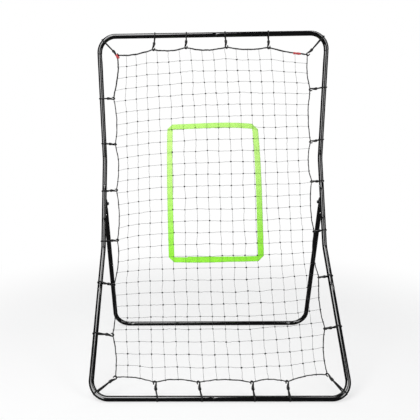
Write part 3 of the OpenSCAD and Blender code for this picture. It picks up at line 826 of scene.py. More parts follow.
FINISHES = {
    Slot.TUBE: Finish("gloss_black_powder_coat", (0.0024, 0.0024, 0.0028), 0.12, coat=1.0, ripple=0.05,
                      ripple_size=0.003, wear=0.30, worn=(0.05, 0.05, 0.052), ior=1.75),
    Slot.BRACKET: Finish("bracket_powder_coat", (0.010, 0.010, 0.011), 0.28, coat=0.4, ripple=0.25,
                         ripple_size=0.002, wear=0.45, worn=(0.3, 0.3, 0.31)),
    Slot.NYLON: Finish("moulded_nylon", (0.018, 0.018, 0.019), 0.42, ripple=0.3, ripple_size=0.0012,
                       wear=0.3, worn=(0.09, 0.09, 0.09)),
    Slot.BOLT: Finish("bright_zinc", (0.30, 0.31, 0.33), 0.30, metallic=1.0, ripple=0.15,
                      ripple_size=0.0015, wear=0.4, worn=(0.45, 0.42, 0.37)),
    Slot.WASHER: Finish("natural_nylon", (0.78, 0.77, 0.72), 0.45, ripple=0.15, ripple_size=0.001,
                        wear=0.3, worn=(0.5, 0.49, 0.45)),
    Slot.SPRING: Finish("blued_spring_steel", (0.30, 0.31, 0.34), 0.3, metallic=1.0, ripple=0.12,
                        ripple_size=0.001, wear=0.4, worn=(0.5, 0.5, 0.5)),
    Slot.BUTTON: Finish("polished_nickel", (0.78, 0.78, 0.77), 0.14, metallic=1.0, ripple=0.08,
                        ripple_size=0.001, wear=0.35, worn=(0.5, 0.49, 0.46)),
    Slot.TWINE: WovenFinish("polyester_twine", (0.022, 0.022, 0.024), 0.75, sheen=0.08, across=3.0,
                            along=380.0, slant=0.5, depth=0.00012),
    Slot.ROPE: WovenFinish("twisted_cord", (0.004, 0.004, 0.0045), 0.75, sheen=0.05, across=10.0,
                           along=420.0, slant=0.4, depth=0.0003),
    Slot.RIBBON: WovenFinish("woven_ribbon", (0.27, 0.78, 0.025), 0.62, sheen=0.06, across=22.0,
                             along=900.0, depth=0.00025, gap=0.22, mottle=0.12),
    Slot.ELASTIC: WovenFinish("braided_elastic", (0.0035, 0.0035, 0.004), 0.65, sheen=0.06, across=8.0,
                              along=480.0, slant=1.0, depth=0.0003, gap=0.5),
    Slot.HOOK: Finish("moulded_hook", (0.0035, 0.0035, 0.004), 0.3, ripple=0.2, ripple_size=0.0015,
                      wear=0.3, worn=(0.06, 0.06, 0.06)),
    Slot.TAG: WovenFinish("red_tape", (0.50, 0.045, 0.05), 0.6, sheen=0.3, across=10.0, along=900.0,
                          depth=0.0002, gap=0.3),
}
MATERIALS = {slot: finish.make() for slot, finish in FINISHES.items()}


# ------------------------------------------------------------------ tube frame


@dataclass(frozen=True)
class Tube:
    """One tube of the frame: its path, and how each end meets its neighbour."""
    node: str
    body: str
    corners: tuple[Triple, ...]
    radii: tuple[float, ...] = ()
    neck_start: bool = False
    neck_end: bool = False


@dataclass(frozen=True)
class ButtonPlace:
    """Where a snap button stands: a point on the tube's axis and the way it points out."""
    node: str
    parent: str
    point: np.ndarray
    out: np.ndarray


@dataclass
class TubeFrame:
    """The bent tubes with their reduced ends, button holes and snap buttons."""
    layout: Layout = LAYOUT
    sides: int = 64
    rim: float = 0.0004
    proud: float = 0.0022
    neck_r: float = 0.00975
    neck_bore_r: float = 0.00855
    neck_len: float = 0.045
    neck_taper: float = 0.0022
    seam_gap: float = 0.0003
    hole_r: float = 0.00315
    top_seam: float = 0.015
    bottom_seam: float = -0.025
    rear_seam: float = 0.430
    top_corner_seam: float = 0.488
    sleeve_top: float = 0.299
    sleeve_bottom: float = 0.140
    lower_seam: float = 0.482
    leg_seam: float = 0.340
    collar_end: float = 0.027
    end_clear: float = 0.006
    ring_from: float = 0.02
    ring_step: float = 0.03
    spring_clear: float = 0.0024
    stem_r: float = 0.0029
    dome: float = 0.0013

    def leg(self, s: float, side: int) -> np.ndarray:
        """Return the point at distance s down a leg's axis from the pivot."""
        return self.layout.pivot + s * self.layout.leg_way + np.array([side * self.layout.half_w, 0, 0])

    def tubes(self) -> list[Tube]:
        """Return every tube of the frame and the leg.

        Returns:
            The tubes, each with its path and its ends.
        """
        lay = self.layout
        found = []
        for side, word in ((-1, "left"), (1, "right")):
            x = side * lay.half_w
            on = lambda k, s, x=x: tuple(lay.on(k, s, x))
            top, low = lay.lengths[2], 0.0
            found += [
                Tube(f"top_corner_{word}", "front_frame",
                     (on(2, top, self.top_seam), on(2, top), on(2, self.top_corner_seam)), (lay.corner_r,),
                     neck_start=side > 0, neck_end=True),
                Tube(f"upper_side_{word}", "front_frame",
                     (on(1, self.sleeve_top), on(2, 0), on(2, self.top_corner_seam)), (lay.knee_r,),
                     neck_start=True),
                Tube(f"hinge_sleeve_{word}", "front_frame",
                     (on(1, self.sleeve_bottom), on(1, self.sleeve_top))),
                Tube(f"knee_tube_{word}", "front_frame",
                     (on(0, self.lower_seam), on(1, 0), on(1, self.sleeve_bottom)), (lay.knee_r,),
                     neck_start=True, neck_end=True),
                Tube(f"bottom_corner_{word}", "front_frame",
                     (on(0, low, self.bottom_seam), on(0, low), on(0, self.lower_seam)), (lay.corner_r,),
                     neck_start=side > 0),
                Tube(f"leg_upper_{word}", "rear_leg",
                     (tuple(self.leg(self.collar_end, side)), tuple(self.leg(self.leg_seam, side))),
                     neck_end=True),
                Tube(f"leg_corner_{word}", "rear_leg",
                     (tuple(self.leg(self.leg_seam, side)), tuple(lay.rear + np.array([x, 0, 0])),
                      tuple(lay.rear + np.array([side * self.rear_seam, 0, 0]))), (lay.corner_r,),
                     neck_end=True),
            ]
        bar = [tuple(lay.rear + np.array([s * self.rear_seam, 0, 0])) for s in (-1, 1)]
        return found + [Tube("rear_bar", "rear_leg", tuple(bar))]

    def wall(self, tube: Tube, route: Route) -> list[Pair]:
        """Return the loop of distance and radius round a tube's wall, from its start outwards.

        Args:
            tube: The tube, which says whether each end is reduced to a neck.
            route: The tube's path, whose points set where the wall bends.

        Returns:
            Pairs for turned_along.
        """
        lay, length = self.layout, route.length
        bends = [s for s in route.dist if self.end_clear < s < length - self.end_clear]
        bends += list(np.arange(self.ring_from, length - self.ring_from, self.ring_step))
        bends = sorted(set(round(float(s), 6) for s in bends))

        def end(neck: bool) -> list[Pair]:
            """Return one end's section from the full outside to the full bore, outwards positive.

            Args:
                neck: Whether the end is reduced to push into the next tube.

            Returns:
                Distance past the end and radius of each point.
            """
            bore = lay.tube_r - lay.wall
            if not neck:
                edge = -self.seam_gap
                return [(edge - self.rim, lay.tube_r), (edge - self.rim * 0.3, lay.tube_r - self.rim * 0.3),
                        (edge, lay.tube_r - self.rim), (edge, bore + self.rim / 2),
                        (edge - self.rim / 2, bore)]
            taper, tip = self.neck_taper, self.neck_len
            return [(-taper, lay.tube_r), (-taper * 0.45, lay.tube_r - self.rim),
                    (-self.seam_gap, self.neck_r + self.rim), (self.rim, self.neck_r),
                    (tip - self.rim, self.neck_r), (tip, self.neck_r - self.rim),
                    (tip, self.neck_bore_r + self.rim), (tip - self.rim, self.neck_bore_r),
                    (-taper, self.neck_bore_r), (-3 * taper, bore)]

        first = [(-s, r) for s, r in reversed(end(tube.neck_start))]
        last = [(length + s, r) for s, r in end(tube.neck_end)]
        outer = [(s, lay.tube_r) for s in bends]
        inner = [(s, lay.tube_r - lay.wall) for s in reversed(bends)]
        return first + outer + last + inner

    def button_places(self) -> list[ButtonPlace]:
        """Return every snap button's place, from its joint's axis and its CAD node's points.

        Returns:
            The places, in the order of the joints.
        """
        top = self.layout.tube_r + self.proud
        places = []
        for joint in frame["joints"]:
            if not joint["name"].endswith("_press"):
                continue
            out = -np.array(joint["axis"], dtype=float)
            points = np.array([v.co for v in frame["nodes"][joint["child"]].data.vertices])
            low, high = points.min(axis=0), points.max(axis=0)
            centre = (low + high) / 2
            reach = (points @ out).max()
            places.append(ButtonPlace(joint["child"], joint["parent"],
                                      centre + (reach - top - centre @ out) * out, out))
        return places

    def build(self) -> None:
        """Make every tube with its button holes, and every button."""
        places = self.button_places()
        for tube in self.tubes():
            corners = [np.array(c) for c in tube.corners]
            route = Route(rounded_path(corners, list(tube.radii)), np.array([0.0, 0.3, 1.0])
                          if abs(corners[1][0] - corners[0][0]) > 0.01 else np.array([1.0, 0.0, 0.0]))
            piece = turned_along(f"{tube.node}_shell", route, self.wall(tube, route), self.sides)
            drill_holes(piece, route, places, self.hole_r, self.layout.tube_r)
            finish_piece(piece, tube.body, Slot.TUBE, tube.node)
        for place in places:
            self.button(place)
        for node in ("frame_button_springs", "leg_button_springs"):
            self.springs(node)

    def springs(self, node: str) -> None:
        """Give each leaf spring its own piece in the spring material, and hide the CAD node.

        Args:
            node: CAD node of the springs.
        """
        for part in loose_parts(node, frame["nodes"][node].data):
            dress(part, MATERIALS[Slot.SPRING])
            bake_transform(part)
            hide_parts(node)

    def button(self, place: ButtonPlace) -> None:
        """Make one snap button: a flanged, domed stem.

        Args:
            place: Where it stands.
        """
        axis = Route(np.array([place.point, place.point + 0.02 * place.out]), np.array([0.31, 0.52, 0.79]))
        top, stem = self.layout.tube_r + self.proud, self.stem_r
        dome = [(top - self.dome + self.dome * math.sin(a), stem * math.cos(a) ** 0.6)
                for a in np.radians(np.arange(0, 90, 12))]
        profile = [(0.0061, 0.0), (0.0061, 0.004), (0.0063, 0.0042), (0.0069, 0.0042), (0.0071, 0.004),
                   (0.0071, stem + 0.0002), (0.0073, stem)] + dome + [(top, 0.0)]
        piece = turned_along(f"{place.node}_domed", axis, profile, 32, closed=False)
        finish_piece(piece, place.node, Slot.BUTTON, place.node)


HOLE_REACH = 0.045
HOLE_NEAR = 0.003


def drill_holes(piece: Object, route: Route, places: list[ButtonPlace], radius: float,
                tube_r: float) -> None:
    """Cut a round hole in a tube's wall at each button that stands on its path.

    Args:
        piece: The tube's mesh object, changed in place.
        route: The tube's path, which its neck may pass by up to HOLE_REACH.
        places: Every button's place.
        radius: Radius of a hole.
        tube_r: Outside radius of the tube.
    """
    cutter = bmesh.new()
    for place in places:
        near = min(np.linalg.norm(route.at(s)[0] - place.point)
                   for s in np.linspace(-HOLE_REACH, route.length + HOLE_REACH, 400))
        if near > HOLE_NEAR:
            continue
        depth = tube_r + HOLE_NEAR
        turn = Vector((0, 0, 1)).rotation_difference(Vector(place.out)).to_matrix().to_4x4()
        move = Matrix.Translation(Vector(place.point) + Vector(place.out) * depth / 2)
        bmesh.ops.create_cone(cutter, cap_ends=True, segments=32, radius1=radius, radius2=radius,
                              depth=depth, matrix=move @ turn)
    if not cutter.verts:
        cutter.free()
        return
    drill = from_build("drill", cutter)
    cut = piece.modifiers.new("holes", "BOOLEAN")
    cut.operation, cut.object, cut.solver = "DIFFERENCE", drill, "EXACT"
    bake(piece)
    bpy.data.objects.remove(drill)


def bake(piece: Object) -> None:
    """Apply all modifiers of a piece to its mesh."""
    mesh = evaluated_mesh(piece)
    piece.modifiers.clear()
    piece.data = mesh


# ------------------------------------------------------------------ hinge hardware

FLAT_ANGLE = math.radians(2)
BEVEL_ANGLE = math.radians(35)
SHARP_ANGLE = math.radians(38)


def softened(node: str, bevel: float, segments: int) -> Object:
    """Copy a CAD node's shape as one welded mesh with rounded edges.

    Args:
        node: Name of the CAD node.
        bevel: Width of the rounding in metres.
        segments: Steps of the rounding.

    Returns:
        The new object.
    """
    build = bmesh.new()
    build.from_mesh(frame["nodes"][node].data)
    bmesh.ops.remove_doubles(build, verts=build.verts, dist=2 * WELD)
    bmesh.ops.dissolve_limit(build, angle_limit=FLAT_ANGLE, verts=build.verts, edges=build.edges)
    piece = from_build(f"{node}_soft", build)
    edge = piece.modifiers.new("rounding", "BEVEL")
    edge.width, edge.segments, edge.limit_method = bevel, segments, "ANGLE"
    edge.angle_limit, edge.harden_normals = BEVEL_ANGLE, False
    bake(piece)
    smooth_all(piece.data)
    piece.data.set_sharp_from_angle(angle=SHARP_ANGLE)
    return piece


@dataclass
class Hinges:
    """The two leg hinges: brackets, moulded plugs, bolts, nuts and washers."""
    layout: Layout = LAYOUT
    reach: float = 0.011
    head_r: float = 0.0075
    head_h: float = 0.0034
    shank_r: float = 0.004
    shank: float = 0.029
    thread_pitch: float = 0.00125

    def build(self) -> None:
        """Make the hinges' pieces from the CAD nodes and from turned profiles."""
        for node, bevel, segments, body, slot in (
                ("hinge_bracket_left", 0.0005, 2, "front_frame", Slot.BRACKET),
                ("hinge_plug_left", 0.0006, 2, "rear_leg", Slot.NYLON),
                ("hinge_bracket_right", 0.0005, 2, "front_frame", Slot.BRACKET),
                ("hinge_plug_right", 0.0006, 2, "rear_leg", Slot.NYLON),
                ("lock_nuts", 0.0004, 2, "front_frame", Slot.BOLT),
                ("pivot_washers", 0.00015, 1, "front_frame", Slot.WASHER)):
            finish_piece(softened(node, bevel, segments), body, slot, node)
        finish_piece(self.bolts(), "front_frame", Slot.BOLT, "pivot_bolts")

    def bolts(self) -> Object:
        """Make both pivot bolts: a domed head with a round socket, and a threaded tip.

        Returns:
            Both bolts as one object.
        """
        parts = []
        for side in (-1, 1):
            face = self.layout.pivot + np.array([side * (self.layout.half_w + self.reach), 0, 0])
            axis = Route(np.array([face, face - np.array([side * self.shank, 0, 0])]),
                         np.array([0.0, 0.0, 1.0]))
            dome = [(-self.head_h * math.cos(a) ** 0.8, self.head_r * math.sin(a) ** 0.7)
                    for a in np.radians(np.arange(30, 91, 10))]
            socket = [(-0.0011, 0.0), (-0.0011, 0.0021), (-self.head_h, 0.0023)]
            thread = []
            at = self.shank - 0.009
            while at < self.shank - 0.0012:
                thread += [(at, self.shank_r), (at + self.thread_pitch / 2, self.shank_r * 0.88)]
                at += self.thread_pitch
            profile = socket + dome + [(0.0, self.head_r), (0.0, self.shank_r)] + thread + [
                (self.shank - 0.0008, self.shank_r * 0.95), (self.shank, self.shank_r * 0.8),
                (self.shank, 0.0)]
            parts.append(turned_along(f"bolt_{side}", axis, profile, 48, closed=False))
        return joined("pivot_bolts_turned", parts)


# ------------------------------------------------------------------ net surface


@dataclass(frozen=True)
class Hook:
    """One hook in the flat net, in millimetres: where its loop sits on the tube, and its border point."""
    tube: float
    x: float
    s: float


TOP_HOOKS = (Hook(-260, -268, 1601), Hook(-118, -120, 1607), Hook(56, 64, 1606), Hook(250, 255, 1601))
LEFT_HOOKS = (Hook(1385, -460, 1386), Hook(1176, -461, 1172), Hook(944, -457, 949),
              Hook(705, -449, 710), Hook(498, -452, 487), Hook(264, -442, 258))
RIGHT_HOOKS = (Hook(1423, 452, 1413), Hook(1184, 466, 1172), Hook(983, 469, 981), Hook(750, 469, 743),
               Hook(524, 465, 517), Hook(291, 455, 281))
BOTTOM_HOOKS = (Hook(-246, -258, 62), Hook(-70, -83, 62), Hook(137, 131, 62), Hook(275, 271, 64))
CORNERS = {"bl": (-418, 82), "br": (435, 92), "tr": (432, 1569), "tl": (-433, 1577)}


@dataclass
class NetSurface:
    """The stretched net: a membrane held at its scalloped border and drawn forward of the frame.

    The net is addressed by u across it and v up it, both 0 to 1.
    """
    layout: Layout = LAYOUT
    low: float = 0.062
    width: float = 0.917
    height: float = 1.543
    pull: float = 2.5
    waves: int = 24
    scallops: tuple[float, ...] = (
        0.009, 0.011, 0.011, 0.011, 0.009,
        0.011, 0.011, 0.011, 0.011, 0.011, 0.011, 0.009,
        0.005, 0.009, 0.012, 0.010, 0.008,
        0.009, 0.011, 0.011, 0.011, 0.011, 0.011, 0.009)
    fade: float = 0.055
    near: float = 0.008
    steps: int = 24
    powers: tuple[tuple[int, int], ...] = (
        (0, 0), (0, 1), (1, 0), (1, 1), (0, 2), (2, 0), (1, 2), (2, 1), (0, 3), (3, 0))
    across_skew: tuple[float, ...] = (
        -0.019, 0.022, -0.045, -0.018, -0.012, -0.039, 0.087, -0.067, -0.096, 0.027)
    upward_skew: tuple[float, ...] = (
        -0.009, 0.044, 0.005, 0.012, 0.019, 0.048, 0.036, 0.058, -0.006, 0.052)

    def __post_init__(self) -> None:
        """Work out the border and the edge tables."""
        pts = [CORNERS["bl"]] + [(h.x, h.s) for h in BOTTOM_HOOKS] + [CORNERS["br"]]
        pts += [(h.x, h.s) for h in reversed(RIGHT_HOOKS)] + [CORNERS["tr"]]
        pts += [(h.x, h.s) for h in reversed(TOP_HOOKS)] + [CORNERS["tl"]]
        pts += [(h.x, h.s) for h in LEFT_HOOKS]
        held = np.array(pts, dtype=float) * MM
        border = []
        for a, b, scallop in zip(held, np.roll(held, -1, axis=0), self.scallops):
            way = (b - a) / np.linalg.norm(b - a)
            inward = np.array([-way[1], way[0]])
            for t in np.arange(self.steps) / self.steps:
                border.append(a + t * (b - a) + 4 * t * (1 - t) * scallop * inward)
        self.held = held
        self.border = np.array(border)
        ring = np.vstack([self.border, self.border[:1]])
        n = self.steps
        self.edges = {name: self.parted(ring[a * n:b * n + 1], axis)
                      for name, a, b, axis in (("bottom", 0, 5, 0), ("right", 5, 12, 1),
                                               ("top", 12, 17, 0), ("left", 17, 24, 1))}
        bends = [0.0, self.layout.lengths[0], self.layout.lengths[0] + self.layout.lengths[1],
                 sum(self.layout.lengths)]
        self.bends = np.array(bends)
        self.profile = np.array([self.layout.start(0), self.layout.start(1), self.layout.start(2),
                                 self.layout.on(2, self.layout.lengths[2])])

    def folded(self, x: np.ndarray, s: np.ndarray) -> np.ndarray:
        """Return points of the folded frame's surface for points of the flat net."""
        return np.stack([x, np.interp(s, self.bends, self.profile[:, 1]),
                         np.interp(s, self.bends, self.profile[:, 2])], axis=-1)

    @staticmethod
    def parted(line: np.ndarray, axis: int) -> np.ndarray:
        """Part one edge into its smooth sweep and the scallops on it.

        Args:
            line: The edge's points.
            axis: 0 for an edge that runs across, 1 for one that runs up.

        Returns:
            Rows of: share of the way along, place along, smooth place across, scallop.
        """
        line = line[np.argsort(line[:, axis])]
        along, across = line[:, axis], line[:, 1 - axis]
        t = (along - along[0]) / (along[-1] - along[0])
        chord = across[0] + t * (across[-1] - across[0])
        basis = np.stack([t * (1 - t), t * (1 - t) * (2 * t - 1)], axis=1)
        sweep = chord + basis @ np.linalg.lstsq(basis, across - chord, rcond=None)[0]
        return np.stack([t, along, sweep, across - sweep])

    def flat(self, u: np.ndarray, v: np.ndarray) -> np.ndarray:
        """Return the flat point at u, v: the edges' sweeps blended, with scallops that fade inward.

        Args:
            u: Places across the net, 0 to 1.
            v: Places up the net, 0 to 1.

        Returns:
            The points, in metres.
        """
        bl, br, tr, tl = (np.array(CORNERS[k]) * MM for k in ("bl", "br", "tr", "tl"))
        mix = lambda a, b, t: a + t[..., None] * (b - a)

        def sweep(name: str, t: np.ndarray) -> np.ndarray:
            """Return points of an edge's smooth sweep."""
            table = self.edges[name]
            pair = [np.interp(t, table[0], table[k]) for k in (1, 2)]
            return np.stack(pair if name in ("bottom", "top") else pair[::-1], axis=-1)

        def scallop(name: str, t: np.ndarray, away: np.ndarray) -> np.ndarray:
            """Return the scallops of an edge, faded with the distance from it."""
            return np.interp(t, self.edges[name][0], self.edges[name][3]) * np.exp(-away / self.fade)

        blend = (mix(sweep("bottom", u), sweep("top", u), v) + mix(sweep("left", v), sweep("right", v), u)
                 - mix(mix(bl, br, u), mix(tl, tr, u), v))
        blend[..., 0] += scallop("left", v, u * self.width) + scallop("right", v, (1 - u) * self.width)
        blend[..., 1] += scallop("bottom", u, v * self.height) + scallop("top", u, (1 - v) * self.height)
        return blend

    def belly(self, u: np.ndarray, v: np.ndarray) -> np.ndarray:
        """Return how far the tension draws the net off the folded frame, as a vector.

        Args:
            u: Places across the net, 0 to 1.
            v: Places up the net, 0 to 1.

        Returns:
            The vectors, in metres.
        """
        total = np.zeros(u.shape + (3,))
        for n in range(1, self.waves + 1):
            fade = math.sqrt(self.pull) * n * math.pi * self.width / self.height / 2
            kink = sum(math.sin(n * math.pi * (self.bends[k] - self.low) / self.height)
                       * (self.layout.ahead(k) - self.layout.ahead(k - 1)) for k in (1, 2))
            size = 2 * self.height / (n * math.pi) ** 2
            shape = np.sin(n * math.pi * v) * (1 - np.cosh(fade * (2 * u - 1)) / math.cosh(fade))
            total += size * shape[..., None] * kink
        return total

    def skewed(self, u: np.ndarray, v: np.ndarray) -> tuple[np.ndarray, np.ndarray]:
        """Shift a place in the mesh by the uneven way that the net was hung."""
        terms = [(2 * u - 1) ** a * (2 * v - 1) ** b for a, b in self.powers]
        return (u + u * (1 - u) * sum(c * term for c, term in zip(self.across_skew, terms)),
                v + v * (1 - v) * sum(c * term for c, term in zip(self.upward_skew, terms)))

    def at(self, u: np.ndarray, v: np.ndarray) -> np.ndarray:
        """Return points of the hung net for places in its mesh."""
        u, v = self.skewed(np.asarray(u, dtype=float), np.asarray(v, dtype=float))
        flat = self.flat(u, v)
        return self.folded(flat[..., 0], flat[..., 1]) + self.belly(u, v)

    def axes(self, u: np.ndarray, v: np.ndarray) -> tuple[np.ndarray, np.ndarray, np.ndarray]:
        """Return unit directions across, up and out of the back of the net.

        Args:
            u: Places across the net, 0 to 1.
            v: Places up the net, 0 to 1.

        Returns:
            The three directions at each place.
        """
        u, v = np.asarray(u, dtype=float), np.asarray(v, dtype=float)
        near = self.near
        across = self.at(np.minimum(u + near, 1), v) - self.at(np.maximum(u - near, 0), v)
        up = self.at(u, np.minimum(v + near, 1)) - self.at(u, np.maximum(v - near, 0))
        return unit(across), unit(up), unit(np.cross(up, across))


# ------------------------------------------------------------------ geometry node trees


class Maker:
    """A Geometry Nodes tree that is built, run once on an object and baked into its mesh."""

    SOCKETS = {float: "NodeSocketFloat", int: "NodeSocketInt", type(None): "NodeSocketObject"}

    def __init__(self, name: str, inputs: dict[str, object]) -> None:
        """Start the tree with named inputs.

        Args:
            name: Name of the tree.
            inputs: Default value of each input after the geometry, None for an object.
        """
        self.group = bpy.data.node_groups.new(name, "GeometryNodeTree")
        face = self.group.interface
        face.new_socket("Geometry", in_out="INPUT", socket_type="NodeSocketGeometry")
        self.keys = {}
        for key, value in inputs.items():
            socket = face.new_socket(key, in_out="INPUT", socket_type=self.SOCKETS[type(value)])
            if value is not None:
                socket.default_value = value
            self.keys[key] = socket.identifier
        face.new_socket("Geometry", in_out="OUTPUT", socket_type="NodeSocketGeometry")
        self.t = Tree(self.group)
        self.t.open()

    def curve(self) -> NodeSocket:
        """Turn the given edges into curves."""
        return self.t.add("GeometryNodeMeshToCurve", {"Mesh": self.t.given("Geometry")}).outputs[0]

    def end(self, geometry: NodeSocket, material: Material) -> None:
        """Realize instances, set the material and leave the tree.

        Args:
            geometry: What the tree has made.
            material: Material that it gets.
        """
        real = self.t.add("GeometryNodeRealizeInstances", {0: geometry})
        dressed = self.t.add("GeometryNodeSetMaterial", {"Geometry": real.outputs[0]})
        dressed.inputs["Material"].default_value = material
        self.t.link(dressed.outputs[0], self.t.sink.inputs[0])

    def run(self, name: str, base: Object, **values: object) -> Object:
        """Run the tree on a base object and return a plain mesh object.

        Args:
            name: Name of the new object.
            base: Object whose mesh is the input. It is removed.
            values: Input values by name, with _ for a space.

        Returns:
            The new object.
        """
        live = base.modifiers.new("maker", "NODES")
        live.node_group = self.group
        for key, value in values.items():
            live[self.keys[key.replace("_", " ")]] = value
        mesh = evaluated_mesh(base)
        mesh.name = name
        smooth_all(mesh)
        bpy.data.objects.remove(base)
        return placed(name, mesh)


def wires(name: str, lines: list[np.ndarray], loose: np.ndarray | None = None,
          girth: np.ndarray | None = None) -> Object:
    """Make an object of edges only, with loose points marked by the attribute "knot".

    Args:
        name: Name of the object.
        lines: One array of points per line.
        loose: Extra points with no edges, or None.
        girth: Thickness at each point of one line that closes on itself, or None.

    Returns:
        The object.
    """
    verts, edges = [], []
    for line in lines:
        first = len(verts)
        verts.extend(map(tuple, line))
        edges += [(first + i, first + i + 1) for i in range(len(line) - 1)]
        if girth is not None:
            edges.append((len(verts) - 1, first))
    count = len(verts)
    if loose is not None:
        verts.extend(map(tuple, loose))
    mesh = bpy.data.meshes.new(name)
    mesh.from_pydata(verts, edges, [])
    mark = mesh.attributes.new("knot", "FLOAT", "POINT")
    mark.data.foreach_set("value", [0.0] * count + [1.0] * (len(verts) - count))
    if girth is not None:
        mesh.attributes.new("girth", "FLOAT", "POINT").data.foreach_set("value", girth)
    return placed(name, mesh)


def laid_tube(t: Tree, curve: NodeSocket, profile: NodeSocket,
              scale: NodeSocket | None = None) -> NodeSocket:
    """Sweep a profile along a curve and keep how far along and round each point is as the UV "Lay".

    Args:
        t: The tree that it is added to.
        curve: The curve.
        profile: The profile curve.
        scale: The profile's scale at each point of the curve, or None.

    Returns:
        The swept mesh.
    """
    kept = {}
    for key, line, measure in (("along", curve, "Length"), ("around", profile, "Factor")):
        run = t.add("GeometryNodeSplineParameter").outputs[measure]
        kept[key] = t.add("GeometryNodeCaptureAttribute", {"Geometry": line}, domain="POINT")
        kept[key].capture_items.new("FLOAT", key)
        t.link(run, kept[key].inputs[key])
    along, around = kept["along"].outputs, kept["around"].outputs
    mesh = t.add("GeometryNodeCurveToMesh", {"Curve": along["Geometry"], "Profile Curve": around["Geometry"],
                                             "Fill Caps": True})
    if scale is not None:
        t.link(scale, mesh.inputs["Scale"])
    lay = t.add("ShaderNodeCombineXYZ", {"X": around["around"], "Y": along["along"]})
    keep = t.add("GeometryNodeStoreNamedAttribute", {"Geometry": mesh.outputs[0], "Name": "Lay"},
                 data_type="FLOAT2", domain="CORNER")
    t.link(lay.outputs[0], keep.inputs["Value"])
    return keep.outputs[0]


KNOT_TURN = (0.5, 0.5, 3.1)
KNOT_SPREAD = (0.85, 1.15)
STRING_FACETS = 7
ROPE_FACETS = 15
LUMP_SCALE = 55.0
LEAST_GIRTH = 0.68


def string_maker() -> Maker:
    """Build the tree that makes net strings with a knot at every marked point.

    Returns:
        The tree.
    """
    maker = Maker("net_strings", {"String Radius": 0.0006, "Knot": None, "Knot Size": 1.0, "Seed": SEED})
    t = maker.t
    ring = t.add("GeometryNodeCurvePrimitiveCircle", {"Resolution": STRING_FACETS,
                                                      "Radius": t.given("String Radius")})
    strings = laid_tube(t, maker.curve(), ring.outputs[0])
    points = t.add("GeometryNodeMeshToPoints", {"Mesh": t.given("Geometry")})
    mark = t.add("GeometryNodeInputNamedAttribute", {"Name": "knot"}, data_type="FLOAT")
    t.link(t.math("GREATER_THAN", mark.outputs[0], 0.5), points.inputs["Selection"])
    shape = t.add("GeometryNodeObjectInfo", {"Object": t.given("Knot")}, transform_space="ORIGINAL")
    turn = t.add("FunctionNodeRandomValue", {"Seed": t.given("Seed")}, data_type="FLOAT_VECTOR")
    turn.inputs[0].default_value = tuple(-most for most in KNOT_TURN)
    turn.inputs[1].default_value = KNOT_TURN
    size = t.add("FunctionNodeRandomValue", {"Seed": t.given("Seed")}, data_type="FLOAT")
    size.inputs[2].default_value, size.inputs[3].default_value = KNOT_SPREAD
    knots = t.add("GeometryNodeInstanceOnPoints", {"Points": points.outputs[0],
                                                   "Instance": shape.outputs["Geometry"]})
    t.link(turn.outputs[0], knots.inputs["Rotation"])
    t.link(t.times(size.outputs[1], t.given("Knot Size")), knots.inputs["Scale"])
    both = t.add("GeometryNodeJoinGeometry")
    t.link(knots.outputs[0], both.inputs[0])
    t.link(strings, both.inputs[0])
    maker.end(both.outputs[0], MATERIALS[Slot.TWINE])
    return maker


def rope_maker() -> Maker:
    """Build the tree that makes a rope of twisted strands along a closed line.

    Returns:
        The tree.
    """
    maker = Maker("twisted_rope", {"Radius": 0.0024, "Strands": 3.0, "Groove": 0.16, "Pitch": 0.017,
                                   "Spacing": 0.0021, "Unevenness": 0.65})
    t = maker.t
    even = t.add("GeometryNodeResampleCurve", {"Curve": maker.curve(), "Length": t.given("Spacing")},
                 mode="LENGTH")
    run = t.add("GeometryNodeSplineParameter").outputs["Length"]
    turn = t.times(t.math("DIVIDE", run, t.given("Pitch")), 2 * math.pi)
    tilt = t.add("GeometryNodeSetCurveTilt", {"Curve": even.outputs[0], "Tilt": turn})
    lump = t.noise(t.add("GeometryNodeInputPosition").outputs[0], LUMP_SCALE, 2.0)
    uneven = t.plus(LEAST_GIRTH, t.times(lump, t.given("Unevenness")))
    kept = t.add("GeometryNodeInputNamedAttribute", {"Name": "girth"}, data_type="FLOAT").outputs[0]
    ring = t.add("GeometryNodeCurvePrimitiveCircle", {"Resolution": ROPE_FACETS, "Radius": 1.0})
    step = t.times(t.add("GeometryNodeInputIndex").outputs[0], 2 * math.pi / ROPE_FACETS)
    lobe = t.math("COSINE", t.times(step, t.given("Strands")))
    reach = t.times(t.plus(1.0, t.times(lobe, t.given("Groove"))), t.given("Radius"))
    place = t.add("GeometryNodeInputPosition").outputs[0]
    moved = t.add("ShaderNodeVectorMath", {0: place}, operation="SCALE")
    t.link(reach, moved.inputs["Scale"])
    shaped = t.add("GeometryNodeSetPosition", {"Geometry": ring.outputs[0], "Position": moved.outputs[0]})
    rope = laid_tube(t, tilt.outputs[0], shaped.outputs[0], t.times(uneven, kept))
    maker.end(rope, MATERIALS[Slot.ROPE])
    return maker


def stitch_maker(material: Material) -> Maker:
    """Build the tree that lays short rounded stitches along lines.

    Args:
        material: Material of the thread.

    Returns:
        The tree.
    """
    maker = Maker("stitches", {"Spacing": 0.0055, "Length": 0.0036, "Thickness": 0.0005})
    t = maker.t
    spots = t.add("GeometryNodeCurveToPoints", {"Curve": maker.curve(), "Length": t.given("Spacing")},
                  mode="LENGTH")
    body = t.add("GeometryNodeMeshIcoSphere", {"Radius": 0.5, "Subdivisions": 1})
    size = t.add("ShaderNodeCombineXYZ", {"X": t.given("Thickness"), "Y": t.given("Thickness"),
                                          "Z": t.given("Length")})
    laid = t.add("GeometryNodeInstanceOnPoints", {"Points": spots.outputs["Points"],
                                                  "Instance": body.outputs[0]})
    t.link(spots.outputs["Rotation"], laid.inputs["Rotation"])
    t.link(size.outputs[0], laid.inputs["Scale"])
    maker.end(laid.outputs[0], material)
    return maker


# ------------------------------------------------------------------ net, ribbon, rope


